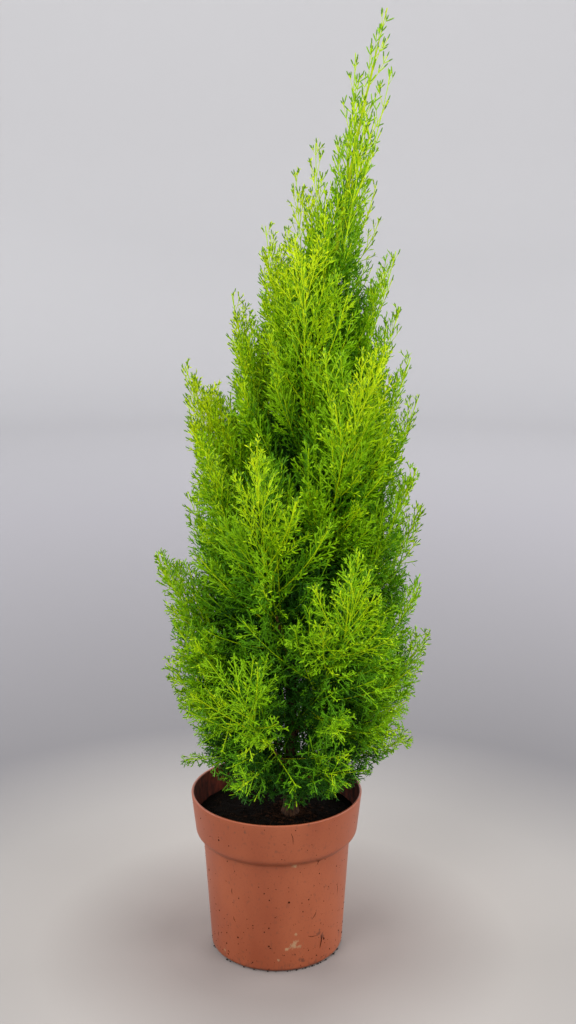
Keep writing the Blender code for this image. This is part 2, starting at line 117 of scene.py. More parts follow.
# Shoots that make the crown's outline: tip height, azimuth, reach from the leader's axis
LEADER_SHOOTS = (
    (1.073, 176, 0.023), (1.057, -12, 0.021), (1.025, 95, 0.026), (1.000, -85, 0.032),
)
LEFT_SHOOTS = (
    (0.978, 186, 0.046), (0.948, 160, 0.066), (0.889, 188, 0.086), (0.813, 174, 0.113), (0.731, 181, 0.155),
    (0.640, 203, 0.130), (0.571, 163, 0.146), (0.510, 184, 0.172), (0.435, 200, 0.150), (0.365, 178, 0.156),
    (0.300, 158, 0.128), (0.245, 186, 0.131),
)
RIGHT_SHOOTS = (
    (0.861, 2, 0.069), (0.797, 16, 0.090), (0.743, -10, 0.106), (0.691, 6, 0.124), (0.620, -20, 0.134),
    (0.559, 12, 0.148), (0.480, -14, 0.150), (0.406, 2, 0.166), (0.335, 22, 0.140), (0.274, -6, 0.148),
)

# Shoots that fill the back and the front in turn, up to the crown's half width at their tips
FILL_COUNT = 12
FILL_TOP = 0.905
FILL_STEP = 0.0575
FILL_SWING = 24.0
CROWN_HALF_WIDTH = (
    (0.28, 0.130), (0.35, 0.150), (0.48, 0.164), (0.70, 0.128), (0.82, 0.097), (0.92, 0.053),
)

# Shoots that droop over the soil, cut short
DROOP_AZIMUTHS = (-128, -84, -38, 62, 128)
DROOP_TIP = 0.196
DROOP_REACH = 0.080
DROOP_KEPT = 0.86

# Path of a shoot, from the leader to its tip
CROWN_FOOT = 0.203
RISE_SHARE = 0.85
OUT_SHARE = 0.60
UP_SHARE = 0.30
ARCH = 0.055
ARCH_FADE = 7
LIMB_RADIUS = 0.0010
LIMB_THICKENING = 0.0075
LIMB_END_RADIUS = 0.0005
LIMB_BARK_SHARE = 0.42
OUTER_ROOM = 0.006

# How side twigs stand on their parent. Spacing, longest and least are lengths, low and high are shares of
# the parent, lean is in degrees from it, and close is how much shorter and closer they stand near the pot.
Habit = namedtuple(
    "Habit", "spacing low high of_parent fade longest least lean follow rise variation close")
SIDE_SHOOTS = Habit(0.0070, 0.05, 0.965, 0.68, 1.15, 0.135, 0.010, (22, 38), 0.45, 0.40, 0.25, 1.0)
FACE_SHOOTS = Habit(0.0104, 0.08, 0.965, 0.62, 0.55, 0.135, 0.010, (22, 38), 0.45, 0.80, 0.25, 1.0)
CORE_SHOOTS = Habit(0.0125, 0.00, 1.000, 0.00, 1.00, 0.115, 0.088, (28, 48), 0.30, 0.60, 0.30, 1.0)
LEADER_TWIGS = Habit(0.0065, 0.06, 0.960, 0.29, 0.80, 0.080, 0.007, (17, 31), 0.60, 0.40, 0.30, 1.0)
DROOP_TWIGS = Habit(0.0062, 0.12, 0.970, 0.18, 0.60, 0.024, 0.005, (34, 54), 0.30, 0.00, 0.30, 1.0)
TOP_CLUBS = Habit(0.0072, 0.22, 0.900, 0.10, 0.50, 0.014, 0.009, (28, 42), 0.20, 0.00, 0.20, 1.0)
BRANCHLETS = Habit(0.0085, 0.10, 0.940, 0.42, 0.85, 0.038, 0.0065, (26, 40), 0.30, 0.12, 0.28, 1.0)
SPURS = Habit(0.0057, 0.24, 0.900, 0.32, 0.45, 0.0080, 0.0034, (26, 42), 0.00, 0.00, 0.25, 0.66)

# Twigs stand further apart towards the top, and are unruly near the pot
OPEN_HEIGHTS = (0.88, 1.01)
OPEN_SPACING = (1.0, 2.6)
WILD_HEIGHTS = (0.28, 0.56)
WILD_LEAN = 0.55
TAME_SCATTER = 0.07
WILD_SCATTER = 0.28
PAIR_JITTER = 0.25
TURN_SCATTER = 0.16

# Side shoots over this height carry clubs alone
BARE_TOP = 0.985

# The stretch of the leader that has shoots of its own
CORE_HEIGHTS = (0.26, 0.90)

# Twigs keep a random way short of the crown's reach, so that its edge is ragged
RAGGED_EDGE = 0.006
RAGGED_MOST = 0.026
RAGGED_HEIGHTS = (0.85, 1.0)

# Below its tip a shoot at the side has less and less reach, by this share of it for each metre down
DRAW_IN = 1.1
DRAW_IN_DEPTH = 0.12

# Only the drooping shoots hang below this edge, from over the soil to outside the rim
HANG_RADII = (0.030, 0.075, 0.135)
HANG_HEIGHTS = (0.188, 0.208, 0.234)
RIM_ROOM = 0.004

# The crown's lower edge draws in towards the pot, most at the left, save for a thin sprig round each shoot
SKIRT_RADII = (0.075, 0.110, 0.135, 0.165)
SKIRT_HEIGHTS = (0.208, 0.226, 0.252, 0.280)
SKIRT_LEFT = -0.055
SKIRT_RISE = 1.2
SPRIG_RADIUS = 0.011


def unit(vectors):
    return vectors / np.maximum(np.linalg.norm(vectors, axis=-1, keepdims=True), 1e-9)


def square_to(vectors, steep):
    """A level direction square to each vector, or where that is steep, one square to the x axis."""
    return unit(np.cross(vectors, np.where(np.abs(vectors[:, 2:]) > steep, [[1.0, 0, 0]], UP)))


def rotated(degrees):
    """The direction on the ground at an azimuth."""
    angle = np.radians(degrees)
    return np.stack([np.cos(angle), np.sin(angle), 0 * angle], axis=-1)


def relief(points, size, octaves=3):
    """Smooth random relief at each point, with lumps of about a size."""
    return np.array([noise.fractal(Vector(p) / size, 1.0, 2.0, octaves) for p in points.reshape(-1, 3)])


# Leader and shoots, by the model's own rule

def height_share(z):
    return np.clip((z - SOIL_LEVEL) / (TREE_HEIGHT - SOIL_LEVEL), 0.0, 1.0)


def trunk_point(z):
    share = height_share(z)
    x = TRUNK_FOOT_X + TRUNK_LEAN * share ** TRUNK_LEAN_POWER
    y = TRUNK_SWAY * np.sin(np.pi * share)
    return np.stack([x, y, z], axis=-1)


def trunk_radius(z):
    taper = (1 - height_share(z)) ** TRUNK_TAPER_POWER
    flare = FLARE_RADIUS * np.exp(-(z - SOIL_LEVEL) / FLARE_HEIGHT)
    return TRUNK_TIP_RADIUS + TRUNK_RADIUS * taper + flare


def from_axis(points):
    """How far points are from the leader's axis, measured level."""
    gap = points[..., :2] - trunk_point(points[..., 2])[..., :2]
    return np.linalg.norm(gap, axis=-1)


def crown_half_width(z):
    return np.interp(z, *zip(*CROWN_HALF_WIDTH))


def shoot_table():
    """Every shoot as tip height, azimuth, reach and whether it fills a face, from the top down."""
    shoots = [(*shoot, 0) for shoot in LEADER_SHOOTS + LEFT_SHOOTS + RIGHT_SHOOTS]
    for k in range(FILL_COUNT):
        tip = FILL_TOP - FILL_STEP * k
        facing = -90.0 if k % 2 else 90.0
        swing = FILL_SWING if (k // 2) % 2 else -FILL_SWING
        shoots.append((tip, facing + swing, crown_half_width(tip), 1))
    shoots += [(DROOP_TIP, azimuth, DROOP_REACH, 0) for azimuth in DROOP_AZIMUTHS]
    return np.array(sorted(shoots, reverse=True), dtype=float)


def on_curve(root, bend, tip, share):
    return (1 - share) ** 2 * root + 2 * share * (1 - share) * bend + share ** 2 * tip


class Twigs:
    """Many twigs at once, each a curve from its root through its bend to its tip."""

    def __init__(self, root, bend, tip, owner, shade):
        self.root, self.bend, self.tip = root, bend, tip
        self.owner, self.shade = owner, shade
        self.length = np.linalg.norm(bend - root, axis=1) + np.linalg.norm(tip - bend, axis=1)

    def fields(self):
        return self.root, self.bend, self.tip, self.owner, self.shade

    def at(self, which, share):
        return on_curve(self.root[which], self.bend[which], self.tip[which], share[..., None])

    def heading(self, which, share):
        share = share[..., None]
        root, bend, tip = self.root[which], self.bend[which], self.tip[which]
        return unit((1 - share) * (bend - root) + share * (tip - bend))

    def path(self, low, high, count):
        """Points along every twig, as an array of twig, point and axis."""
        root, bend, tip = (p[:, None, :] for p in (self.root, self.bend, self.tip))
        return on_curve(root, bend, tip, np.linspace(low, high, count)[None, :, None])

    def pick(self, keep):
        return Twigs(*(field[keep] for field in self.fields()))

    def joined(self, other):
        return Twigs(*(np.concatenate(pair) for pair in zip(self.fields(), other.fields())))


def main_shoots():
    """The shoots that the model's foliage is built on, their reach, and whether they fill a face."""
    table = shoot_table()
    tip_height, azimuth, reach, fills = table.T
    crown = TREE_HEIGHT - CROWN_FOOT
    share = np.maximum(0.0, (tip_height - CROWN_FOOT) / crown)
    start = trunk_point(CROWN_FOOT + RISE_SHARE * crown * share ** 2)
    end = trunk_point(tip_height) + reach[:, None] * rotated(azimuth)
    arch = (ARCH * (1 - share) ** ARCH_FADE)[:, None] * UP
    bend = start + ((end - start) * (OUT_SHARE, OUT_SHARE, UP_SHARE) + arch)
    kept = np.where(tip_height > DROOP_TIP, 1.0, DROOP_KEPT)[:, None]
    curve = start, start + kept * (bend - start), on_curve(start, bend, end, kept)
    shoots = Twigs(*curve, np.arange(len(table)), np.zeros(len(table)))
    return shoots, reach, fills > 0


def leader_top():
    """The bare top of the leader, as a twig that others stand on."""
    low, middle, high = (trunk_point(np.array([z])) for z in np.linspace(LEADER_TOP_FOOT, TREE_HEIGHT, 3))
    return Twigs(low, 2 * middle - (low + high) / 2, high, np.array([0]), np.zeros(1))


def core_stretches(shoots):
    """Short stretches of the leader inside the crown, each owned by the shoot that leaves nearest."""
    heights = np.linspace(*CORE_HEIGHTS, num=32)
    low, high = trunk_point(heights[:-1]), trunk_point(heights[1:])
    nearest = np.abs(heights[:-1, None] - shoots.root[:, 2]).argmin(axis=1)
    return Twigs(low, (low + high) / 2, high, nearest, np.zeros(len(low)))


def path_gaps(points, paths):
    """The distance of each point to each path, as an array of point and path."""
    starts = paths[:, :-1]
    runs = paths[:, 1:] - starts
    squares = (runs ** 2).sum(-1)
    gaps = np.empty((len(points), len(paths)))
    for k in range(len(paths)):
        offset = points[:, None, :] - starts[k][None]
        share = np.clip((offset * runs[k]).sum(-1) / squares[k], 0.0, 1.0)
        gaps[:, k] = np.linalg.norm(offset - share[..., None] * runs[k], axis=-1).min(axis=1)
    return gaps


class Crown:
    """The main shoots and the space that the crown may fill."""

    NEIGHBOUR_ROOM = 0.038
    TRUNK_ROOM = 0.0006
    POT_ROOM = 0.0012

    def __init__(self):
        self.shoots, self.reach, self.filling = main_shoots()
        self.drooping = np.arange(len(self.reach)) >= len(self.reach) - len(DROOP_AZIMUTHS)
        self.draw_in = np.where(self.filling | self.drooping, 0.0, DRAW_IN)
        self.stems = self.shoots.path(0.1, 1.0, count=12)
        self.fine_stems = self.shoots.path(0.0, 1.0, count=30)

    def above_pot(self, points, owner):
        """Whether points are over the crown's lower edge, or droop over the soil."""
        x, _, z = points.T
        out = np.linalg.norm(points[:, :2], axis=1)
        over_soil = self.drooping[owner] & (z > SOIL_LEVEL + self.POT_ROOM)
        over_soil &= out < RIM_RADIUS - LIP_THICKNESS - RIM_ROOM
        skirt = np.interp(out, SKIRT_RADII, SKIRT_HEIGHTS) + SKIRT_RISE * np.maximum(SKIRT_LEFT - x, 0)
        stem_gaps = np.linalg.norm(self.fine_stems[owner] - points[:, None, :], axis=2).min(axis=1)
        over_skirt = (z > skirt) | (stem_gaps < SPRIG_RADIUS)
        return over_soil | (over_skirt & (z > np.interp(out, HANG_RADII, HANG_HEIGHTS)))

    def holds(self, points, owner, room):
        """Whether points are in the box and their shoot's reach, less some room, and off leader and pot."""
        heights = points[:, 2]
        axis_gap = from_axis(points)
        below = np.clip(self.shoots.tip[owner, 2] - heights, 0.0, DRAW_IN_DEPTH)
        reach = self.reach[owner] * (1 - self.draw_in[owner] * below) + OUTER_ROOM
        in_reach = axis_gap < reach - room * np.interp(heights, RAGGED_HEIGHTS, (1, 0))
        off_trunk = axis_gap > trunk_radius(heights) + self.TRUNK_ROOM
        in_box = ((points > np.array(CAD_LOW)) & (points < np.array(CAD_HIGH))).all(axis=1)
        return self.above_pot(points, owner) & in_reach & off_trunk & in_box

    def owns(self, points, owner):
        """Whether points are in their own shoot's space, or a little way into a neighbour's."""
        gaps = path_gaps(points, self.stems)
        own = gaps[np.arange(len(points)), owner]
        return own < gaps.min(axis=1) + self.NEIGHBOUR_ROOM

    def holds_own(self, points, owner, room):
        return self.holds(points, owner, room) & self.owns(points, owner)


def grow(parents, habit, rng, fits, tries=6, shrink=0.8):
    """Opposite pairs of side twigs on every parent, each pair a quarter turn on from the last.

    A twig that doesn't fit is shortened, and left out if it still doesn't fit after some tries.
    """
    span = habit.high - habit.low
    spacing = habit.spacing * np.interp(parents.tip[:, 2], OPEN_HEIGHTS, OPEN_SPACING)
    spacing = spacing * np.interp(parents.tip[:, 2], WILD_HEIGHTS, (habit.close, 1.0))
    nodes = np.round(parents.length * span / spacing).astype(int)
    which = np.repeat(np.arange(len(nodes)), nodes)
    order = np.arange(len(which)) - np.repeat(np.cumsum(nodes) - nodes, nodes)
    jitter = rng.uniform(-PAIR_JITTER, PAIR_JITTER, len(which))
    share = habit.low + span * (order + 0.5 + jitter) / nodes[which]
    first_turn = rng.uniform(0, math.tau, len(nodes))
    turn = first_turn[which] + order * math.pi / 2 + rng.normal(0, TURN_SCATTER, len(which))

    which, share, turn = (np.repeat(values, 2) for values in (which, share, turn))
    turn[1::2] += math.pi
    root = parents.at(which, share)
    ahead = parents.heading(which, share)
    wild = np.interp(root[:, 2], WILD_HEIGHTS, (1.0, 0.0))[:, None]
    first = square_to(ahead, steep=0.95)
    second = np.cross(ahead, first)
    out = np.cos(turn)[:, None] * first + np.sin(turn)[:, None] * second
    lean = np.radians(rng.uniform(*habit.lean, len(which)))[:, None] * (1 + WILD_LEAN * wild)
    scatter = (TAME_SCATTER + WILD_SCATTER * wild) * rng.normal(size=root.shape)
    leaving = unit(np.cos(lean) * ahead + np.sin(lean) * out + scatter)
    arriving = unit(leaving + habit.follow * ahead + habit.rise * (1 - wild) * UP)
    length = habit.of_parent * parents.length[which] * (1 - share) ** habit.fade + habit.least
    length = np.minimum(length, habit.longest) * (1 - (1 - habit.close) * wild[:, 0])
    length *= rng.uniform(1 - habit.variation, 1 + habit.variation, len(which))

    owner = parents.owner[which]
    room = np.minimum(rng.exponential(RAGGED_EDGE, len(which)), RAGGED_MOST)
    found = np.zeros(len(which), bool)
    for _ in range(tries):
        left = np.flatnonzero(~found)
        bend = root[left] + 0.5 * length[left, None] * leaving[left]
        tip = bend + 0.5 * length[left, None] * arriving[left]
        good = fits(tip, owner[left], room[left]) & fits(bend, owner[left], room[left])
        found[left[good]] = True
        length[left[~good]] *= shrink
    bend = root + 0.5 * length[:, None] * leaving
    tip = bend + 0.5 * length[:, None] * arriving
    return Twigs(root, bend, tip, owner, parents.shade[which]).pick(found)


# Meshes from arrays

# Twigs narrow to a share of their foot, and end in a club that is a little thicker at the crown's top
TWIG_SIDES = 3
TWIG_TAPER = 0.55
CLUB_LENGTH = 0.0055
CLUB_RADIUS = 0.00072
CLUB_SHARES = (0.03, 0.6)
CLUB_POINT = 0.2
CLUB_TAPER = 0.9
TOP_CLUB_SHARE = 1.25

# Where a leaf is widest along its rib, and how far its edges fold up
LEAF_WIDEST = 0.6
LEAF_FOLD = 0.5


def ring_walls(rings, sides):
    """The numbers of a ring's corners and of the next ones round it, and the triangles between rings."""
    near = np.arange(sides)
    far = (near + 1) % sides
    walls = []
    for ring in range(0, (rings - 1) * sides, sides):
        walls.append(np.stack([near, far, far + sides], -1) + ring)
        walls.append(np.stack([near, far + sides, near + sides], -1) + ring)
    return near, far, walls


def tubes(points, radii, sides):
    """Tubes with a pointed end, two radii long, along many rows of points: their vertices and triangles.

    The radii are one for each point, or one for each corner of its ring.
    """
    count, rings, _ = points.shape
    heading = unit(np.gradient(points, axis=1))
    side = square_to(unit(points[:, -1] - points[:, 0]), steep=0.9)[:, None, :]
    first = unit(side - heading * (side * heading).sum(-1, keepdims=True))
    second = np.cross(heading, first)
    angles = math.tau * np.arange(sides) / sides
    cos, sin = np.cos(angles)[:, None], np.sin(angles)[:, None]
    around = cos * first[:, :, None, :] + sin * second[:, :, None, :]
    if radii.ndim == 2:
        radii = np.repeat(radii[:, :, None], sides, axis=2)
    corners = points[:, :, None, :] + radii[..., None] * around
    tips = points[:, -1] + heading[:, -1] * radii[:, -1].mean(axis=1)[:, None] * 2
    vertices = np.concatenate([corners.reshape(count, rings * sides, 3), tips[:, None, :]], axis=1)
    near, far, walls = ring_walls(rings, sides)
    last = (rings - 1) * sides
    end = np.stack([last + near, last + far, np.full(sides, rings * sides)], -1)
    return copies(vertices, np.concatenate(walls + [end]))


def copies(vertices, pattern):
    """One list of vertices and triangles from many copies of a pattern of triangles."""
    count, each, _ = vertices.shape
    triangles = pattern[None] + (np.arange(count) * each)[:, None, None]
    return vertices.reshape(-1, 3), triangles.reshape(-1, 3)


def clubs(twigs, thick, rings):
    """Twigs that taper to a thicker club, and the tint of each triangle.

    The club's end is three triangles a side: two of its wall and one of its point.
    """
    club_radius = CLUB_RADIUS * np.interp(twigs.tip[:, 2], OPEN_HEIGHTS, (1.0, TOP_CLUB_SHARE))
    club = np.clip(CLUB_LENGTH / twigs.length, *CLUB_SHARES)
    which = np.arange(len(club))
    shares = [(1 - club) * k / (rings - 1) for k in range(rings)] + [1 - CLUB_POINT * club]
    points = np.stack([twigs.at(which, share) for share in shares], 1)
    taper = np.linspace(1.0, TWIG_TAPER, rings)[None] * thick[:, None]
    taper[:, -1] = club_radius
    radii = np.concatenate([taper, CLUB_TAPER * taper[:, -1:]], axis=1)
    geometry = tubes(points, radii, TWIG_SIDES)
    return geometry, spray_tints(twigs, geometry[1], 3 * TWIG_SIDES)


def kites(twigs, widths, rng):
    """Small folded leaves, each a kite of two triangles that share the leaf's rib."""
    rib = twigs.tip - twigs.root
    across = unit(np.cross(rib, rng.normal(size=rib.shape)))
    lift = unit(np.cross(rib, across))
    middle = twigs.root + LEAF_WIDEST * rib
    half = widths[:, None] / 2
    left = middle + half * across + LEAF_FOLD * half * lift
    right = middle - half * across + LEAF_FOLD * half * lift
    return copies(np.stack([twigs.root, left, twigs.tip, right], axis=1), np.array([[0, 1, 2], [0, 2, 3]]))


GOLDEN = 1.618
ICOSAHEDRON_CORNERS = unit(np.array([
    (0, 1, GOLDEN), (0, 1, -GOLDEN), (0, -1, GOLDEN), (0, -1, -GOLDEN),
    (1, GOLDEN, 0), (1, -GOLDEN, 0), (-1, GOLDEN, 0), (-1, -GOLDEN, 0),
    (GOLDEN, 0, 1), (GOLDEN, 0, -1), (-GOLDEN, 0, 1), (-GOLDEN, 0, -1)]))


def outward_faces(corners):
    """The triangles between corners that are each other's nearest, facing out."""
    gaps = np.linalg.norm(corners[:, None] - corners[None], axis=-1)
    edge = gaps[gaps > 0].min() * 1.01
    faces = []
    for a, b, c in combinations(range(len(corners)), 3):
        if max(gaps[a, b], gaps[b, c], gaps[a, c]) < edge:
            out = np.dot(np.cross(corners[b] - corners[a], corners[c] - corners[a]), corners[a]) > 0
            faces.append((a, b, c) if out else (a, c, b))
    return np.array(faces)


def crumbs(places, sizes, rng, flatness=0.7):
    """Uneven crumbs, each flattened and turned about the vertical by chance."""
    count = len(places)
    shape = ICOSAHEDRON_CORNERS[None] * rng.uniform(0.72, 1.2, (count, len(ICOSAHEDRON_CORNERS), 1))
    breadths = rng.uniform(0.55, 1.0, count)
    heights = rng.uniform(0.6, 1.0, count) * flatness
    x, y, z = np.moveaxis(shape * np.stack([np.ones(count), breadths, heights], -1)[:, None], -1, 0)
    turn = rng.uniform(0, math.tau, count)
    cos, sin = np.cos(turn)[:, None], np.sin(turn)[:, None]
    shape = np.stack([cos * x - sin * y, sin * x + cos * y, z], -1)
    return copies(places[:, None] + sizes[:, None, None] / 2 * shape, outward_faces(ICOSAHEDRON_CORNERS))


def crumb_sizes(count, rng, usual, spread, least, most):
    return np.clip(rng.lognormal(math.log(usual), spread, count), least, most)


def turned(profile, sides):
    """A closed body turned round the z axis. Both ends of its profile are on the axis."""
    rings = np.array(profile[1:-1])
    around = rotated(360 * np.arange(sides) / sides)
    corners = rings[:, 0, None, None] * around[None] + rings[:, 1, None, None] * UP
    poles = np.array([(0, 0, profile[0][1]), (0, 0, profile[-1][1])])
    near, far, walls = ring_walls(len(rings), sides)
    last, low = (len(rings) - 1) * sides, len(rings) * sides
    foot = np.stack([np.full(sides, low), far, near], -1)
    top = np.stack([np.full(sides, low + 1), last + near, last + far], -1)
    return np.concatenate([corners.reshape(-1, 3), poles]), np.concatenate(walls + [foot, top])


def merge(parts):
    """One set of vertices, triangles and material numbers from several."""
    vertices, triangles, tints, first = [], [], [], 0
    for (corners, faces), tint in parts:
        vertices.append(corners)
        triangles.append(faces + first)
        tints.append(np.broadcast_to(tint, len(faces)))
        first += len(corners)
    return np.concatenate(vertices), np.concatenate(triangles), np.concatenate(tints)


def add_object(name, data):
    new = bpy.data.objects.new(name, data)
    bpy.context.scene.collection.objects.link(new)
    return new


def add_piece(name, geometry, materials, replaced, smooth=False):
    """A new piece on the plant's one body, in place of the nodes that it replaces.

    Its geometry is vertices, triangles and, if it has several materials, their number for each triangle.
    """
    vertices, triangles, *tints = geometry
    mesh = bpy.data.meshes.new(name)
    mesh.vertices.add(len(vertices))
    mesh.vertices.foreach_set("co", vertices.astype(np.float32).ravel())
    mesh.loops.add(3 * len(triangles))
    mesh.loops.foreach_set("vertex_index", triangles.astype(np.int32).ravel())
    mesh.polygons.add(len(triangles))
    mesh.polygons.foreach_set("loop_start", np.arange(0, 3 * len(triangles), 3, dtype=np.int32))
    mesh.polygons.foreach_set("use_smooth", np.full(len(triangles), smooth))
    for material in materials:
        mesh.materials.append(material)
    if tints:
        mesh.polygons.foreach_set("material_index", tints[0].astype(np.int32))
    mesh.update(calc_edges=True)
    piece = add_object(name, mesh)
    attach(piece, "root")
    if replaced:
        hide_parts(*replaced)


# Materials

def srgb(red, green, blue):
    """A linear colour from the 0 to 255 values seen in a picture."""
    def linear(value):
        value = value / 255
        return value / 12.92 if value <= 0.04045 else ((value + 0.055) / 1.055) ** 2.4
    return (linear(red), linear(green), linear(blue), 1.0)


class Finish:
    """A material with its shader, and short ways to add the nodes of a pattern."""

    def __init__(self, name, roughness, specular=0.5):
        self.material = bpy.data.materials.new(name)
        self.material.use_nodes = True
        self.nodes = self.material.node_tree.nodes
        self.links = self.material.node_tree.links
        self.shader = self.nodes["Principled BSDF"]
        self.feed(self.shader, {"Roughness": roughness, "Specular IOR Level": specular})
        self.place = self.nodes.new("ShaderNodeTexCoord").outputs["Object"]

    def feed(self, node, sockets):
        """Gives each socket of a node its value, or links it to the output of another."""
        for name, value in sockets.items():
            if isinstance(value, bpy.types.NodeSocket):
                self.links.new(value, node.inputs[name])
            else:
                node.inputs[name].default_value = value

    def node(self, kind, sockets, **settings):
        """The outputs of a new node with some settings, fed through its sockets."""
        node = self.nodes.new("ShaderNode" + kind)
        for name, setting in settings.items():
            setattr(node, name, setting)
        self.feed(node, sockets)
        return node.outputs

    def noise(self, scale, stretch=(1, 1, 1), detail=4, shift=(0, 0, 0)):
        """Noise whose lumps are about 1 / scale metres wide, and wider along a smaller stretch."""
        place = self.node("Mapping", {"Vector": self.place, "Scale": stretch, "Location": shift})["Vector"]
        return self.node("TexNoise", {"Vector": place, "Scale": scale, "Detail": detail})["Fac"]

    def ramp(self, value, low, high, low_colour, high_colour):
        """A colour that runs from one to another as a value goes from low to high."""
        colour = self.node("ValToRGB", {"Fac": value})["Color"]
        ends = colour.node.color_ramp.elements
        for end, place, tone in zip(ends, (low, high), (low_colour, high_colour)):
            end.position, end.color = place, tone
        return colour

    def span(self, value, low, high, out_low=0.0, out_high=1.0):
        """A value from out_low to out_high as another goes from low to high, and held past them."""
        ends = {"From Min": low, "From Max": high, "To Min": out_low, "To Max": out_high}
        return self.node("MapRange", {"Value": value, **ends})["Result"]

    def total(self, first, second):
        return self.node("Math", {0: first, 1: second}, operation="ADD")["Value"]

    def mix(self, share, first, second):
        """The first colour, with the second over it by a share."""
        return self.node("Mix", {"Factor": share, 6: first, 7: second}, data_type="RGBA")[2]

    def height(self):
        return self.node("SeparateXYZ", {"Vector": self.place})["Z"]

    def distance(self, point):
        return self.node("VectorMath", {0: self.place, 1: tuple(point)}, operation="DISTANCE")["Value"]

    def bump(self, height, strength, distance):
        sockets = {"Height": height, "Strength": strength, "Distance": distance}
        self.feed(self.shader, {"Normal": self.node("Bump", sockets)["Normal"]})

    def colour(self, colour):
        self.feed(self.shader, {"Base Color": colour})
        return self


# Foliage tints from the yellowest to the deepest, the deeper ones partly painted shade, and the olive of
# the clubs' ends, which is painted shade of tips seen dark against the backdrop at the crown's edge
LEAF_TINTS = (
    ("leaf_yellow_lime", srgb(190, 213, 0)),
    ("leaf_lime", srgb(168, 204, 0)),
    ("leaf_fresh", srgb(130, 178, 0)),
    ("leaf_green", srgb(82, 136, 0)),
    ("leaf_deep", srgb(32, 78, 0)),
)
BACKLIT_TIP_TINT = ("leaf_tip_painted_shade", srgb(98, 138, 18))


def leaf_materials():
    return [Finish(name, 0.6, 0.2).colour(tint).material for name, tint in LEAF_TINTS + (BACKLIT_TIP_TINT,)]


def bark_material():
    """Brown, fibrous bark that turns to a lime green stalk towards the top."""
    bark = Finish("bark", 0.85, 0.3)
    fibres = bark.noise(420, (1, 1, 0.14), 5)
    browns = bark.ramp(fibres, 0.36, 0.66, srgb(36, 20, 12), srgb(90, 60, 38))
    rise = bark.span(bark.height(), 0.60, 0.80)
    bark.colour(bark.mix(rise, browns, srgb(176, 194, 4)))
    bark.bump(fibres, 0.6, 0.0004)
    return bark.material


def limb_material():
    """The paler bark of a limb, which turns green lower down than the leader's."""
    limb = Finish("limb_bark", 0.8, 0.3)
    fibres = limb.noise(500, (1, 1, 0.3), 4)
    browns = limb.ramp(fibres, 0.36, 0.66, srgb(62, 36, 20), srgb(142, 104, 60))
    rise = limb.span(limb.height(), 0.46, 0.66)
    limb.colour(limb.mix(rise, browns, srgb(128, 164, 6)))
    limb.bump(fibres, 0.5, 0.0003)
    return limb.material


# Crown pieces

# The first shoot of each piece of leaves, from the top of the crown down
ZONES = (0, 10, 16, 21, 25, 30, 36, 43)

# A spray's shade inside the crown's foot, how it lightens outwards and upwards, and how sprays differ.
# The shade is partly the foliage's own colour, with yellower new growth outside and at the top, and partly
# painted shade and light: deep tints inside the crown and low down, and lighter ones towards the lit top.
INNER_SHADE = 1.32
OUTER_LIGHT = 0.70
OUTER_LIGHT_POWER = 1.8
OUTER_MOST = 1.1
UPPER_LIGHT = 0.90
SPRAY_SPREAD = 0.09
STALK_LIGHTER = 0.25
OLIVE_SHADE = 0.4

# Thickness of side shoots and branchlets, and width of leaves
SHOOT_RADIUS = 0.00035
SHOOT_THICKENING = 0.0060
SHOOT_RADIUS_MOST = 0.00090
BRANCHLET_RADIUS = 0.0004
LEAF_WIDTH_SHARE = 0.27
LEAF_WIDTHS = (0.0013, 0.0019)

# Corners round limbs, stalks and leader, points along them, and their bark's relief. Its lumps have a
# stretch along the stem, a radius that they are read at, and a size.
LIMB_SIDES = 8
LIMB_POINTS = 26
LIMB_LUMPS = (0.35, 0.003, 0.004)
LIMB_RELIEF = 0.16
STALK_POINTS = 24
STALK_LAP = 0.01
STALK_END = 0.985
LEADER_SIDES = 28
LEADER_RINGS = 300
LEADER_RING_POWER = 1.15
LEADER_SUNK = 0.004
LEADER_LONGER = 0.003
RIDGES = (0.16, 0.006, 0.0022)
RIDGE_RELIEF = 0.07
FLUTES = (0.2, 0.010, 0.012)
FLUTE_RELIEF = 0.12
COLLAR_LENGTH = 0.004
COLLAR_RELIEF = 0.12
YOUNG_LENGTH = 0.35
YOUNG_RELIEF = 0.15
SLIM_HEIGHTS = (0.80, 1.08)
SLIM_SHARES = (1.0, 0.72)


def shades(twigs):
    """A shade for each spray: 0 is the yellowest, at the top and the outside, and 1 the deepest, partly
    painted shade.
    """
    outer = np.clip(from_axis(twigs.tip) / crown_half_width(twigs.tip[:, 2]), 0, OUTER_MOST)
    height = height_share(twigs.tip[:, 2])
    # Painted shade as well as own colour: darker tints inside the crown and lower down, lighter at the top
    shade = INNER_SHADE - OUTER_LIGHT * outer ** OUTER_LIGHT_POWER - UPPER_LIGHT * height
    return np.clip(shade + twigs.shade, 0.0, 1.0)


def spray_tints(twigs, triangles, tip_triangles=0):
    """The tint of every triangle on twigs: that of its spray, and olive at the ends of the lighter sprays,
    painted shade of tips seen dark at the crown's edge.
    """
    tint = np.minimum((twigs.shade * len(LEAF_TINTS)).astype(int), len(LEAF_TINTS) - 1)
    tints = np.repeat(tint[:, None], len(triangles) // len(tint), axis=1)
    if tip_triangles:
        # Painted shade: the ends of the outer and upper sprays get the darker olive
        tints[twigs.shade < OLIVE_SHADE, -tip_triangles:] = len(LEAF_TINTS)
    return tints.ravel()


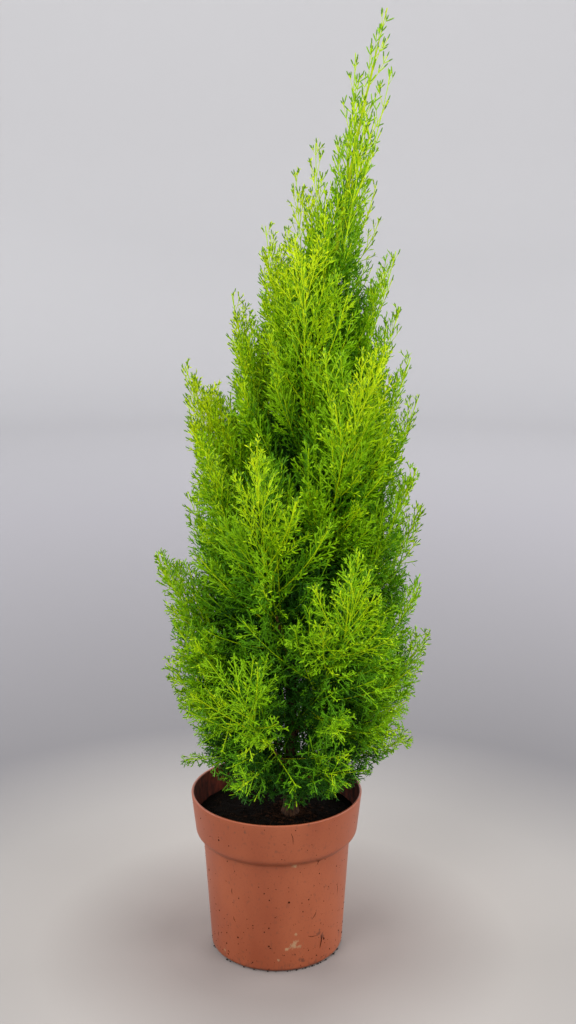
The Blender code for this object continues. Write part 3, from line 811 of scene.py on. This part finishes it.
def make_leaves(branchlets, spurs, materials, rng):
    """The branchlets and the scale leaves on them, one piece for each zone of the crown."""
    for zone, (low, high) in enumerate(zip(ZONES, ZONES[1:])):
        stalks, scales = (t.pick((t.owner >= low) & (t.owner < high)) for t in (branchlets, spurs))
        thick = np.full(len(stalks.length), BRANCHLET_RADIUS)
        leaves = kites(scales, np.clip(LEAF_WIDTH_SHARE * scales.length, *LEAF_WIDTHS), rng)
        tints = spray_tints(scales, leaves[1])
        geometry = merge([clubs(stalks, thick, rings=2), (leaves, tints)])
        names = ["foliage_%02d" % (k + 1) for k in range(low, high)]
        add_piece("leaves_%d" % (zone + 1), geometry, materials, names)


def nodes_named(start):
    return [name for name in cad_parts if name.startswith(start)]


def make_twigs(side_shoots, materials):
    thick = SHOOT_RADIUS + SHOOT_THICKENING * side_shoots.length
    geometry = merge([clubs(side_shoots, np.minimum(thick, SHOOT_RADIUS_MOST), rings=6)])
    add_piece("twigs", geometry, materials, nodes_named("foliage"), smooth=True)


def limb_radii(crown, low, high, count):
    share = np.linspace(low, high, count)[None]
    thick = LIMB_RADIUS + LIMB_THICKENING * crown.shoots.length[:, None]
    return LIMB_END_RADIUS + (thick - LIMB_END_RADIUS) * (1 - share) ** 2


def bark_relief(points, sides, stretch, radius, size):
    around = rotated(360 * np.arange(sides) / sides)
    corners = points[..., None, :] * (1, 1, stretch) + radius * around
    return relief(corners, size).reshape(*points.shape[:-1], sides)


def make_limbs(crown, materials):
    """The limbs: barked and brown near the leader, and lime green stalks further out."""
    points = crown.shoots.path(0.0, LIMB_BARK_SHARE, LIMB_POINTS)
    radii = limb_radii(crown, 0.0, LIMB_BARK_SHARE, LIMB_POINTS)[..., None]
    radii = radii * (1 + LIMB_RELIEF * bark_relief(points, LIMB_SIDES, *LIMB_LUMPS))
    limbs = tubes(points, radii, LIMB_SIDES)
    add_piece("limbs", limbs, [limb_material()], nodes_named("bough"), smooth=True)

    points = crown.shoots.path(LIMB_BARK_SHARE - STALK_LAP, STALK_END, STALK_POINTS)
    radii = limb_radii(crown, LIMB_BARK_SHARE, STALK_END, STALK_POINTS)
    radii[:, -2:] = CLUB_RADIUS
    add_piece("stalks", tubes(points, radii, sides=6), materials[1:2], None, smooth=True)


def make_leader(crown):
    """The leader, with fibrous ridges, and a collar wherever a limb leaves it."""
    shares = np.linspace(0, 1, LEADER_RINGS) ** LEADER_RING_POWER
    heights = SOIL_LEVEL - LEADER_SUNK + (TREE_HEIGHT - SOIL_LEVEL + LEADER_LONGER) * shares
    points = trunk_point(heights)
    ridges, flutes = (bark_relief(points, LEADER_SIDES, *lumps) for lumps in (RIDGES, FLUTES))
    collars = np.exp(-((heights[:, None] - crown.shoots.root[:, 2]) / COLLAR_LENGTH) ** 2).sum(axis=1)
    young = np.clip((TREE_HEIGHT - heights) / YOUNG_LENGTH, YOUNG_RELIEF, 1)[:, None]
    slim = np.interp(heights, SLIM_HEIGHTS, SLIM_SHARES)[:, None]
    bark = 1 + young * (RIDGE_RELIEF * ridges + FLUTE_RELIEF * flutes)
    radii = slim * trunk_radius(heights)[:, None] * (bark + COLLAR_RELIEF * collars[:, None])
    radii[-2:] = CLUB_RADIUS
    leader = tubes(points[None], radii[None], LEADER_SIDES)
    add_piece("leader", leader, [bark_material()], ["trunk"], smooth=True)


# Pot

# Bends of the shoulder's curve: how far below the band it starts, how it rises, and how it swings out
SHOULDER_START = -0.5
SHOULDER_RISE = 0.12
SHOULDER_OUT = 0.92


def arc(centre, radius, low, high, count):
    """Points on an arc as (radius, height), from one angle to another in degrees."""
    angles = np.radians(np.linspace(low, high, count))
    return list(zip(centre[0] + radius * np.cos(angles), centre[1] + radius * np.sin(angles)))


def straight(start, end, count):
    """Points on a straight stretch of a profile, without its two ends."""
    shares = np.linspace(0, 1, count + 2)[1:-1]
    return [(start[0] + (end[0] - start[0]) * s, start[1] + (end[1] - start[1]) * s) for s in shares]


def shoulder(count):
    """The swing from the neck out to the band."""
    step, band = BAND_FOOT_RADIUS - NECK_RADIUS, POT_HEIGHT - BAND_HEIGHT
    t = np.linspace(0, 1, count)
    out = 3 * (1 - t) * t ** 2 * SHOULDER_OUT + t ** 3
    up = SHOULDER_START * (1 - t) ** 3 + 3 * t * (1 - t) ** 2 * SHOULDER_RISE + t ** 3
    return list(zip(NECK_RADIUS + step * out, band + BAND_ROUND * up))


def inner_wall():
    """The inside of the pot as (radius, height), from the floor's edge up to the rim."""
    band = POT_HEIGHT - BAND_HEIGHT
    return [
        (FOOT_RADIUS - FOOT_ROUND, FLOOR_THICKNESS),
        (FOOT_RADIUS - WALL_THICKNESS, FLOOR_THICKNESS + FOOT_ROUND),
        (NECK_RADIUS - WALL_THICKNESS, band - BAND_WALL_DROP),
        (BAND_FOOT_RADIUS - WALL_THICKNESS, band + BAND_ROUND),
        (RIM_RADIUS - LIP_THICKNESS, POT_HEIGHT - LIP_ROUND),
    ]


def outer_wall():
    """The outside of the pot as (radius, height), from its underside up to the lip."""
    notch_edge = FOOT_RADIUS - FOOT_ROUND - NOTCH_DEPTH
    foot = [(0.0, 0.0), (notch_edge - NOTCH_SLOPE, 0.0), (notch_edge, 0.0)]
    foot += arc((FOOT_RADIUS - FOOT_ROUND, FOOT_ROUND), FOOT_ROUND, -90, 0, count=12)
    swing = shoulder(count=18)
    lip_height = POT_HEIGHT - LIP_ROUND
    lip = arc((RIM_RADIUS - LIP_ROUND, lip_height), LIP_ROUND, 0, 90, count=7)
    lip += arc((RIM_RADIUS - LIP_THICKNESS + LIP_ROUND, lip_height), LIP_ROUND, 90, 180, count=7)
    wall = straight(foot[-1], swing[0], count=26)
    band = straight(swing[-1], lip[0], count=8)
    return foot + wall + swing + band + lip


def on_wall(azimuth, height):
    """The point on the pot's outside at an azimuth and a height."""
    radii, heights = zip(*[(r, z) for r, z in outer_wall()[3:] if z < POT_HEIGHT - LIP_ROUND / 2])
    out = np.interp(height, heights, radii)[..., None] * rotated(azimuth)
    return out + np.asarray(height)[..., None] * UP


# Marks on the pot as azimuth, height and size: chalky stains, and smears of soil
STAINS = (
    (-73.8, 0.0367, 0.0125), (-81.4, 0.0321, 0.0045), (-139.9, 0.0136, 0.0040), (-88.6, 0.0175, 0.0030),
    (-74.0, 0.0520, 0.0045), (-75.0, 0.1445, 0.0080), (38.0, 0.0520, 0.0080), (121.0, 0.0230, 0.0060),
)
SMEARS = (
    (-56.0, 0.1440, 0.0050), (-52.0, 0.0430, 0.0070), (-22.0, 0.0235, 0.0080), (-68.0, 0.0138, 0.0060),
    (-48.0, 0.0390, 0.0090), (70.0, 0.0700, 0.0090), (150.0, 0.0400, 0.0080),
)


def pot_material():
    """Satin terracotta plastic with faint flow marks, chalk, soil and a dusty foot."""
    pot = Finish("terracotta_plastic", 0.42)
    mottle = pot.noise(16, (1, 1, 0.45), 3)
    colour = pot.ramp(mottle, 0.35, 0.68, srgb(137, 65, 35), srgb(153, 79, 46))
    fine = pot.noise(620, (1, 1, 1), 3)
    colour = pot.mix(pot.span(fine, 0.56, 0.72, 0.0, 0.35), colour, srgb(110, 52, 30))
    broken = pot.noise(260, (1, 1, 0.6), 5, (3, 1, 0))
    for marks, tint, strength in ((STAINS, srgb(168, 140, 104), 0.70), (SMEARS, srgb(58, 30, 20), 0.60)):
        for azimuth, height, size in marks:
            near = pot.span(pot.distance(on_wall(azimuth, height)), 0.0, size, 0.30, -0.12)
            share = pot.span(pot.total(broken, near), 0.60, 0.74, 0.0, strength)
            colour = pot.mix(share, colour, tint)
    low = pot.span(pot.height(), 0.0, 0.016, 0.16, 0.0)
    dust = pot.span(pot.total(broken, low), 0.58, 0.78, 0.0, 0.65)
    pot.colour(pot.mix(dust, colour, srgb(96, 52, 34)))
    pot.feed(pot.shader, {"Roughness": pot.span(mottle, 0.3, 0.7, 0.38, 0.50)})
    pot.bump(fine, 0.12, 0.0002)
    return pot.material


def inside_material():
    """The same plastic inside the rim, dusted with soil, and made darker with painted shade for the shade
    inside the pot.
    """
    inside = Finish("terracotta_inside_painted_shade", 0.7, 0.1)
    soiled = inside.noise(130, (1, 1, 0.5), 5)
    # Painted shade: both ends of this ramp are far darker than the outside's plastic; the noise is soil
    # dust
    inside.colour(inside.ramp(soiled, 0.38, 0.66, srgb(46, 16, 9), srgb(92, 36, 20)))
    return inside.material


def make_pot():
    """The pot, turned, with notches cut up into its foot past the two inner rings of its underside."""
    outside = outer_wall()
    profile = outside + inner_wall()[::-1] + [(0.0, FLOOR_THICKNESS)]
    vertices, triangles = turned(profile, POT_SIDES)
    outer = np.zeros(len(vertices), bool)
    outer[2 * POT_SIDES:(len(outside) - 1) * POT_SIDES] = True
    azimuth = np.degrees(np.arctan2(vertices[:, 1], vertices[:, 0]))
    for k in range(NOTCH_COUNT):
        away = (azimuth - NOTCH_AZIMUTH - 360 * k / NOTCH_COUNT + 180) % 360 - 180
        across = np.abs(FOOT_RADIUS * np.radians(away)) / (NOTCH_WIDTH / 2)
        arch = NOTCH_HEIGHT * np.sqrt(np.clip(1 - across ** 2, 0, 1))
        vertices[outer, 2] = np.maximum(vertices[outer, 2], arch[outer])
    ring = 2 * POT_SIDES
    tints = np.zeros(len(triangles), int)
    # The inside of the rim takes the darker material, with its painted shade
    tints[(len(outside) - 2) * ring:(len(profile) - 3) * ring] = 1
    materials = [pot_material(), inside_material()]
    add_piece("planter", (vertices, triangles, tints), materials, ["pot"], smooth=True)


# Specks on the pot's wall: some all over it, and some that thin out upwards from its foot. The sizes of
# specks and crumbs are the usual one, their spread, the least and the most.
WALL_SPECKS = 430
WALL_SPECK_HEIGHTS = (0.008, 0.2)
FOOT_SPECKS = 130
FOOT_SPECK_LOWEST = 0.004
FOOT_SPECK_RISE = 0.018
SPECK_HEIGHTS = (0.003, 0.198)
SPECK_SIZES = (0.0013, 0.42, 0.0006, 0.0030)
SPECK_SUNK = 0.62


def make_specks(rng):
    """Specks of soil stuck to the outside of the pot, as low crumbs on its wall."""
    count = WALL_SPECKS + FOOT_SPECKS
    all_over = rng.uniform(*WALL_SPECK_HEIGHTS, WALL_SPECKS)
    low = FOOT_SPECK_LOWEST + rng.exponential(FOOT_SPECK_RISE, FOOT_SPECKS)
    heights = np.clip(np.concatenate([all_over, low]), *SPECK_HEIGHTS)
    azimuths = rng.uniform(-180, 180, count)
    sizes = crumb_sizes(count, rng, *SPECK_SIZES)
    places = on_wall(azimuths, heights)
    corners, faces = crumbs(places, sizes, rng, flatness=1.25)
    corners = corners.reshape(count, -1, 3)
    out = rotated(azimuths)[:, None]
    proud = ((corners - places[:, None]) * out).sum(-1, keepdims=True)
    return (corners - SPECK_SUNK * proud * out).reshape(-1, 3), faces


# Roots and scratches of soil on the pot's wall: azimuths and heights of their points, and thickness
WALL_ROOTS = (
    ((-80.1, -78.9, -78.6), (0.1933, 0.1866, 0.1780), 0.00040),
    ((-32.9, -31.2, -31.5), (0.0999, 0.0930, 0.0831), 0.00030),
    ((-56.3, -57.3, -59.8), (0.0759, 0.0715, 0.0673), 0.00042),
    ((-49.0, -49.3, -50.4), (0.0400, 0.0320, 0.0229), 0.00080),
    ((-63.0, -59.0, -54.5), (0.0452, 0.0428, 0.0424), 0.00040),
    ((-59.0, -56.6, -54.3), (0.1463, 0.1448, 0.1444), 0.00045),
    ((-57.1, -56.5, -55.6), (0.1400, 0.1422, 0.1444), 0.00040),
    ((-127.3, -127.6, -127.4), (0.1058, 0.1020, 0.0980), 0.00036),
    ((-127.1, -126.8, -125.3), (0.0675, 0.0640, 0.0614), 0.00036),
    ((-148.7, -149.3, -149.4), (0.0328, 0.0300, 0.0269), 0.00030),
    ((96.0, 97.5, 96.2), (0.1200, 0.1120, 0.1030), 0.00034),
    ((24.0, 26.5, 27.0), (0.0620, 0.0570, 0.0500), 0.00036),
    ((160.0, 161.0, 160.4), (0.1850, 0.1790, 0.1730), 0.00034),
)
ROOT_POINTS = 12


def wall_roots():
    """The roots and scratches, thickest in the middle, as half a wave is."""
    swell = np.sin(np.linspace(0.35, 2.9, ROOT_POINTS))
    parts = []
    for azimuths, heights, thickness in WALL_ROOTS:
        steps = np.linspace(0, len(azimuths) - 1, ROOT_POINTS)
        places = (np.interp(steps, range(len(azimuths)), values) for values in (azimuths, heights))
        parts.append((tubes(on_wall(*places)[None], thickness * swell[None], sides=4), 0))
    return parts


# Soil

SOIL_RINGS = 56
SOIL_CRUMBS = 1700
SOIL_CRUMB_SIZES = (0.0016, 0.45, 0.0007, 0.0048)
SOIL_CRUMB_LIFT = 0.25
SOIL_CRUMB_ROOM = 0.002

# Crumbs against the pot's foot: all round it, more in front, and big ones as azimuth and size
ROUND_CRUMBS = 46
FRONT_CRUMBS = 34
FRONT_AZIMUTH = -50
FRONT_SPREAD = 30
BIG_CRUMBS = ((-30.7, 0.0034), (-97.3, 0.0026), (-64.3, 0.0022), (-48.2, 0.0022))
FOOT_CRUMB_SIZES = (0.0013, 0.4, 0.0007, 0.0028)
FOOT_CRUMB_OUT = 0.0042
FOOT_CRUMB_LIFT = 0.46

# Fibres as count, spread round the leader's foot or none, and length. Their ends keep within a limit.
FIBRES = ((150, None, 0.016), (170, 0.017, 0.014))
FIBRE_REACH = 0.088
FIBRE_LIMIT = 0.094
FIBRE_SHARES = (0.3, 0.9)
FIBRE_BEND = 0.4
FIBRE_LIFTS = (0.0005, 0.0045)
FIBRE_END_LIFT = 0.0002
FIBRE_RADII = (0.00018, 0.00042)
FIBRE_TAPER = (0.7, 1, 1, 0.9, 0.6)
CHIPS = 110
CHIP_SPREAD = (0.0192, 0.016, 0)
CHIP_LIFT = 0.0008
CHIP_SIZES = (0.0025, 0.0075)


def soil_height(points):
    """The soil's surface: nearly level, lower towards the wall, and lumpy."""
    out = np.linalg.norm(points[:, :2], axis=1) / (BAND_FOOT_RADIUS - WALL_THICKNESS)
    flat = points * (1, 1, 0)
    lumpy = SOIL_RELIEF * relief(flat, SOIL_LUMP, 4) + GRAIN_RELIEF * relief(flat, SOIL_GRAIN, 2)
    return SOIL_LEVEL - SOIL_EDGE_DROP * out ** 4 + lumpy


def soil_material(name, dark, light):
    soil = Finish(name, 0.95, 0.05)
    grain = soil.noise(700, (1, 1, 1), 5)
    soil.colour(soil.ramp(grain, 0.35, 0.72, dark, light))
    soil.bump(grain, 0.8, 0.0008)
    return soil.material


def scattered(count, low, high, rng):
    """Random places on the soil, evenly spread between two radii."""
    out = np.sqrt(rng.uniform(low ** 2, high ** 2, count))
    points = out[:, None] * rotated(rng.uniform(0, 360, count))
    points[:, 2] = soil_height(points)
    return points


def make_soil(rng):
    """The soil, down along the inside of the pot, with crumbs on it."""
    wall = [(radius - SOIL_GAP, height) for radius, height in inner_wall()]
    (low_radius, low), (high_radius, high) = wall[-2:]
    edge = SOIL_LEVEL - SOIL_EDGE_DROP
    edge_radius = low_radius + (high_radius - low_radius) * (edge - low) / (high - low)
    surface = [(edge_radius * (1 - k / SOIL_RINGS), SOIL_LEVEL) for k in range(SOIL_RINGS + 1)]
    foot = FLOOR_THICKNESS + SOIL_FOOT_GAP
    profile = [(0.0, foot), (wall[0][0], foot)] + wall[1:-1] + surface
    vertices, triangles = turned(profile, sides=150)
    top = np.isclose(vertices[:, 2], SOIL_LEVEL)
    vertices[top, 2] = soil_height(vertices[top])
    dark = soil_material("soil", srgb(5, 4, 3), srgb(22, 16, 11))
    add_piece("soil_surface", (vertices, triangles), [dark], ["soil"], smooth=True)

    places = scattered(SOIL_CRUMBS, 0.0, edge_radius - SOIL_CRUMB_ROOM, rng)
    sizes = crumb_sizes(SOIL_CRUMBS, rng, *SOIL_CRUMB_SIZES)
    lumps = crumbs(places + SOIL_CRUMB_LIFT * sizes[:, None] * UP, sizes, rng)
    at_foot = crumb_ring(rng)
    brown = soil_material("peat", srgb(8, 6, 4), srgb(32, 21, 14))
    tints = rng.integers(0, 2, SOIL_CRUMBS).repeat(len(lumps[1]) // SOIL_CRUMBS)
    add_piece("soil_crumbs", merge([(lumps, tints), (at_foot, 1)]), [dark, brown], None)


def crumb_ring(rng):
    big_azimuths, big_sizes = zip(*BIG_CRUMBS)
    around = rng.uniform(-180, 180, ROUND_CRUMBS)
    in_front = rng.normal(FRONT_AZIMUTH, FRONT_SPREAD, FRONT_CRUMBS)
    azimuths = np.concatenate([around, in_front, big_azimuths])
    sizes = crumb_sizes(len(azimuths), rng, *FOOT_CRUMB_SIZES)
    sizes[-len(BIG_CRUMBS):] = big_sizes
    away = FOOT_RADIUS - FOOT_ROUND + FOOT_CRUMB_OUT + 0.5 * sizes
    places = away[:, None] * rotated(azimuths) + FOOT_CRUMB_LIFT * sizes[:, None] * UP
    corners, faces = crumbs(places, sizes, rng)
    corners[:, 2] = np.maximum(corners[:, 2], 0.0)
    return corners, faces


def fibres(count, spread, length, rng):
    middle = scattered(count, 0.0, FIBRE_REACH, rng)
    if spread:
        middle = (TRUNK_FOOT_X, 0, 0) + spread * rng.normal(size=(count, 3)) * (1, 1, 0)
        middle[:, 2] = soil_height(middle)
    along = rotated(rng.uniform(0, 360, count)) * length * rng.uniform(*FIBRE_SHARES, (count, 1))
    bend = middle + FIBRE_BEND * rng.normal(size=middle.shape) * (1, 1, 0) * length
    bend[:, 2] = middle[:, 2] + rng.uniform(*FIBRE_LIFTS, count)
    ends = [middle - along / 2, middle + along / 2]
    for end in ends:
        end[:, 2] = soil_height(end) + FIBRE_END_LIFT
    inside = np.linalg.norm(np.stack(ends), axis=-1).max(axis=0) < np.hypot(FIBRE_LIMIT, SOIL_LEVEL)
    straws = Twigs(ends[0], bend, ends[1], np.zeros(count, int), np.zeros(count)).pick(inside)
    radii = rng.uniform(*FIBRE_RADII, (len(straws.length), 1)) * np.array([FIBRE_TAPER])
    return tubes(straws.path(0, 1, len(FIBRE_TAPER)), radii, 3)


def make_litter(rng):
    """Fibres and bark chips on the soil, thickest round the leader's foot."""
    parts = [(fibres(*bed, rng), 0) for bed in FIBRES]
    places = (TRUNK_FOOT_X, 0, 0) + rng.normal(size=(CHIPS, 3)) * CHIP_SPREAD
    places[:, 2] = soil_height(places) + CHIP_LIFT
    chips = crumbs(places, rng.uniform(*CHIP_SIZES, CHIPS), rng, flatness=0.28)
    fibre = soil_material("fibre", srgb(24, 14, 8), srgb(60, 38, 23))
    chip = soil_material("bark_chip", srgb(26, 15, 9), srgb(62, 39, 24))
    add_piece("litter", merge(parts + [(chips, 1)]), [fibre, chip], None)


def make_pot_dirt(rng):
    """Specks and roots of soil on the outside of the pot."""
    dirt = soil_material("dirt", srgb(34, 15, 10), srgb(86, 42, 28))
    add_piece("pot_dirt", merge([(make_specks(rng), 0)] + wall_roots()), [dirt], None)


# Camera, light and studio

# Lamps as name, place, the height on the plant's axis that they face, width and power
LAMPS = (
    ("key", (-2.0, -2.9, 3.6), 0.6, 2.4, 108),
    ("low", (0.2, -3.0, 0.7), 0.15, 1.0, 12),
    ("fill", (2.8, -1.8, 2.4), 0.5, 2.2, 70),
    ("back", (0.4, 3.2, 3.0), 0.6, 2.4, 60),
    ("left", (-3.2, 0.5, 1.7), 0.4, 2.4, 72),
    ("right", (3.2, 0.7, 1.7), 0.4, 2.4, 72),
)

# The floor's flat radius, the round between it and the wall, and the wall's height
COVE_FLAT = 4.0
COVE_ROUND = 1.2
COVE_WALL = 4.2
COVE_SIDES = 96

# Tones of the studio by distance from the plant, from the floor under it out and up to the wall. They are
# painted shade and light: a painted shadow under and round the pot, a painted shade ring on the floor, and
# the wall painted lighter upwards.
COVE_REACH = 6.0
COVE_PAINTED_SHADE_TONES = (
    (0.0, 135, 127, 123), (0.14, 136, 128, 124), (0.30, 156, 151, 147), (0.44, 150, 146, 143),
    (0.72, 119, 117, 119), (2.4, 154, 152, 156), (4.4, 186, 185, 187), (5.6, 212, 211, 211),
    (6.0, 216, 215, 215),
)


def make_camera():
    camera = add_object("camera", bpy.data.cameras.new("camera"))
    camera.location = CAMERA_PLACE
    camera.rotation_euler = (math.radians(90 - CAMERA_PITCH), 0, 0)
    camera.data.sensor_width = SENSOR_WIDTH
    camera.data.lens = SENSOR_WIDTH * CAMERA_FOCAL / FRAME_HEIGHT
    bpy.context.scene.camera = camera


def add_light(name, place, aim, size, power):
    lamp = bpy.data.lights.new(name, "AREA")
    lamp.shape = "DISK"
    lamp.size = size
    lamp.energy = power
    light = add_object(name, lamp)
    light.location = place
    light.rotation_euler = (Vector((0, 0, aim)) - Vector(place)).to_track_quat("-Z", "Y").to_euler()


def make_cove():
    """A pale studio all round: a flat floor that curves up into a wall, with painted shadow and light in
    its tones.
    """
    profile = [(radius, 0.0) for radius in (0.0, 0.3, 1.0, 2.0, 3.0)]
    profile += arc((COVE_FLAT, COVE_ROUND), COVE_ROUND, -90, 0, count=16)
    profile += [(COVE_FLAT + COVE_ROUND, COVE_WALL), (0.0, COVE_WALL)]
    vertices, triangles = turned(profile, COVE_SIDES)
    mesh = bpy.data.meshes.new("cove")
    mesh.from_pydata(vertices[:-1].tolist(), [], triangles[:-COVE_SIDES].tolist())
    mesh.shade_smooth()
    pale = Finish("cove", 0.8, 0.1)
    # Painted shadow and light: the tones darken under and round the pot and lighten up the wall
    tones = [srgb(*tone) for _, *tone in COVE_PAINTED_SHADE_TONES]
    share = pale.span(pale.distance((0, 0, 0)), 0.0, COVE_REACH)
    colour = pale.ramp(share, 0.0, 1.0, tones[0], tones[-1])
    for (away, *_), tone in list(zip(COVE_PAINTED_SHADE_TONES, tones))[1:-1]:
        colour.node.color_ramp.elements.new(away / COVE_REACH).color = tone
    mesh.materials.append(pale.colour(colour).material)
    add_object("cove", mesh)


def make_studio():
    scene = bpy.context.scene
    scene.view_settings.view_transform = "Standard"
    scene.world = bpy.data.worlds.new("studio")
    scene.world.use_nodes = True
    background = scene.world.node_tree.nodes["Background"]
    background.inputs["Color"].default_value = srgb(226, 228, 234)
    background.inputs["Strength"].default_value = 0.9
    make_cove()
    for lamp in LAMPS:
        add_light(*lamp)


def grown(crown, rng):
    """All the twigs of the crown: side shoots, the branchlets on them, and the small leaves on those."""
    shoots, drooping, filling = crown.shoots, crown.drooping, crown.filling
    side_shoots = grow(shoots.pick(~drooping & ~filling), SIDE_SHOOTS, rng, crown.holds_own)
    others = (
        (shoots.pick(filling), FACE_SHOOTS),
        (shoots.pick(drooping), DROOP_TWIGS),
        (leader_top(), LEADER_TWIGS),
        (core_stretches(shoots), CORE_SHOOTS),
    )
    for parents, habit in others:
        side_shoots = side_shoots.joined(grow(parents, habit, rng, crown.holds))
    side_shoots.shade = rng.normal(0, SPRAY_SPREAD, len(side_shoots.length))
    top = side_shoots.tip[:, 2] > BARE_TOP
    branchlets = grow(side_shoots.pick(~top), BRANCHLETS, rng, crown.holds)
    branchlets.shade = shades(branchlets)
    spurs = grow(branchlets, SPURS, rng, crown.holds)
    top_clubs = grow(side_shoots.pick(top), TOP_CLUBS, rng, crown.holds)
    top_clubs.shade = shades(top_clubs)
    side_shoots.shade = np.clip(shades(side_shoots) - STALK_LIGHTER, 0.0, 1.0)
    return side_shoots, branchlets.joined(top_clubs), spurs


def main():
    rng = np.random.default_rng(SEED)
    crown = Crown()
    side_shoots, branchlets, spurs = grown(crown, rng)
    materials = leaf_materials()
    make_leaves(branchlets, spurs, materials, rng)
    make_twigs(side_shoots, materials)
    make_limbs(crown, materials)
    make_leader(crown)
    make_pot()
    make_soil(rng)
    make_litter(rng)
    make_pot_dirt(rng)
    make_camera()
    make_studio()


main()
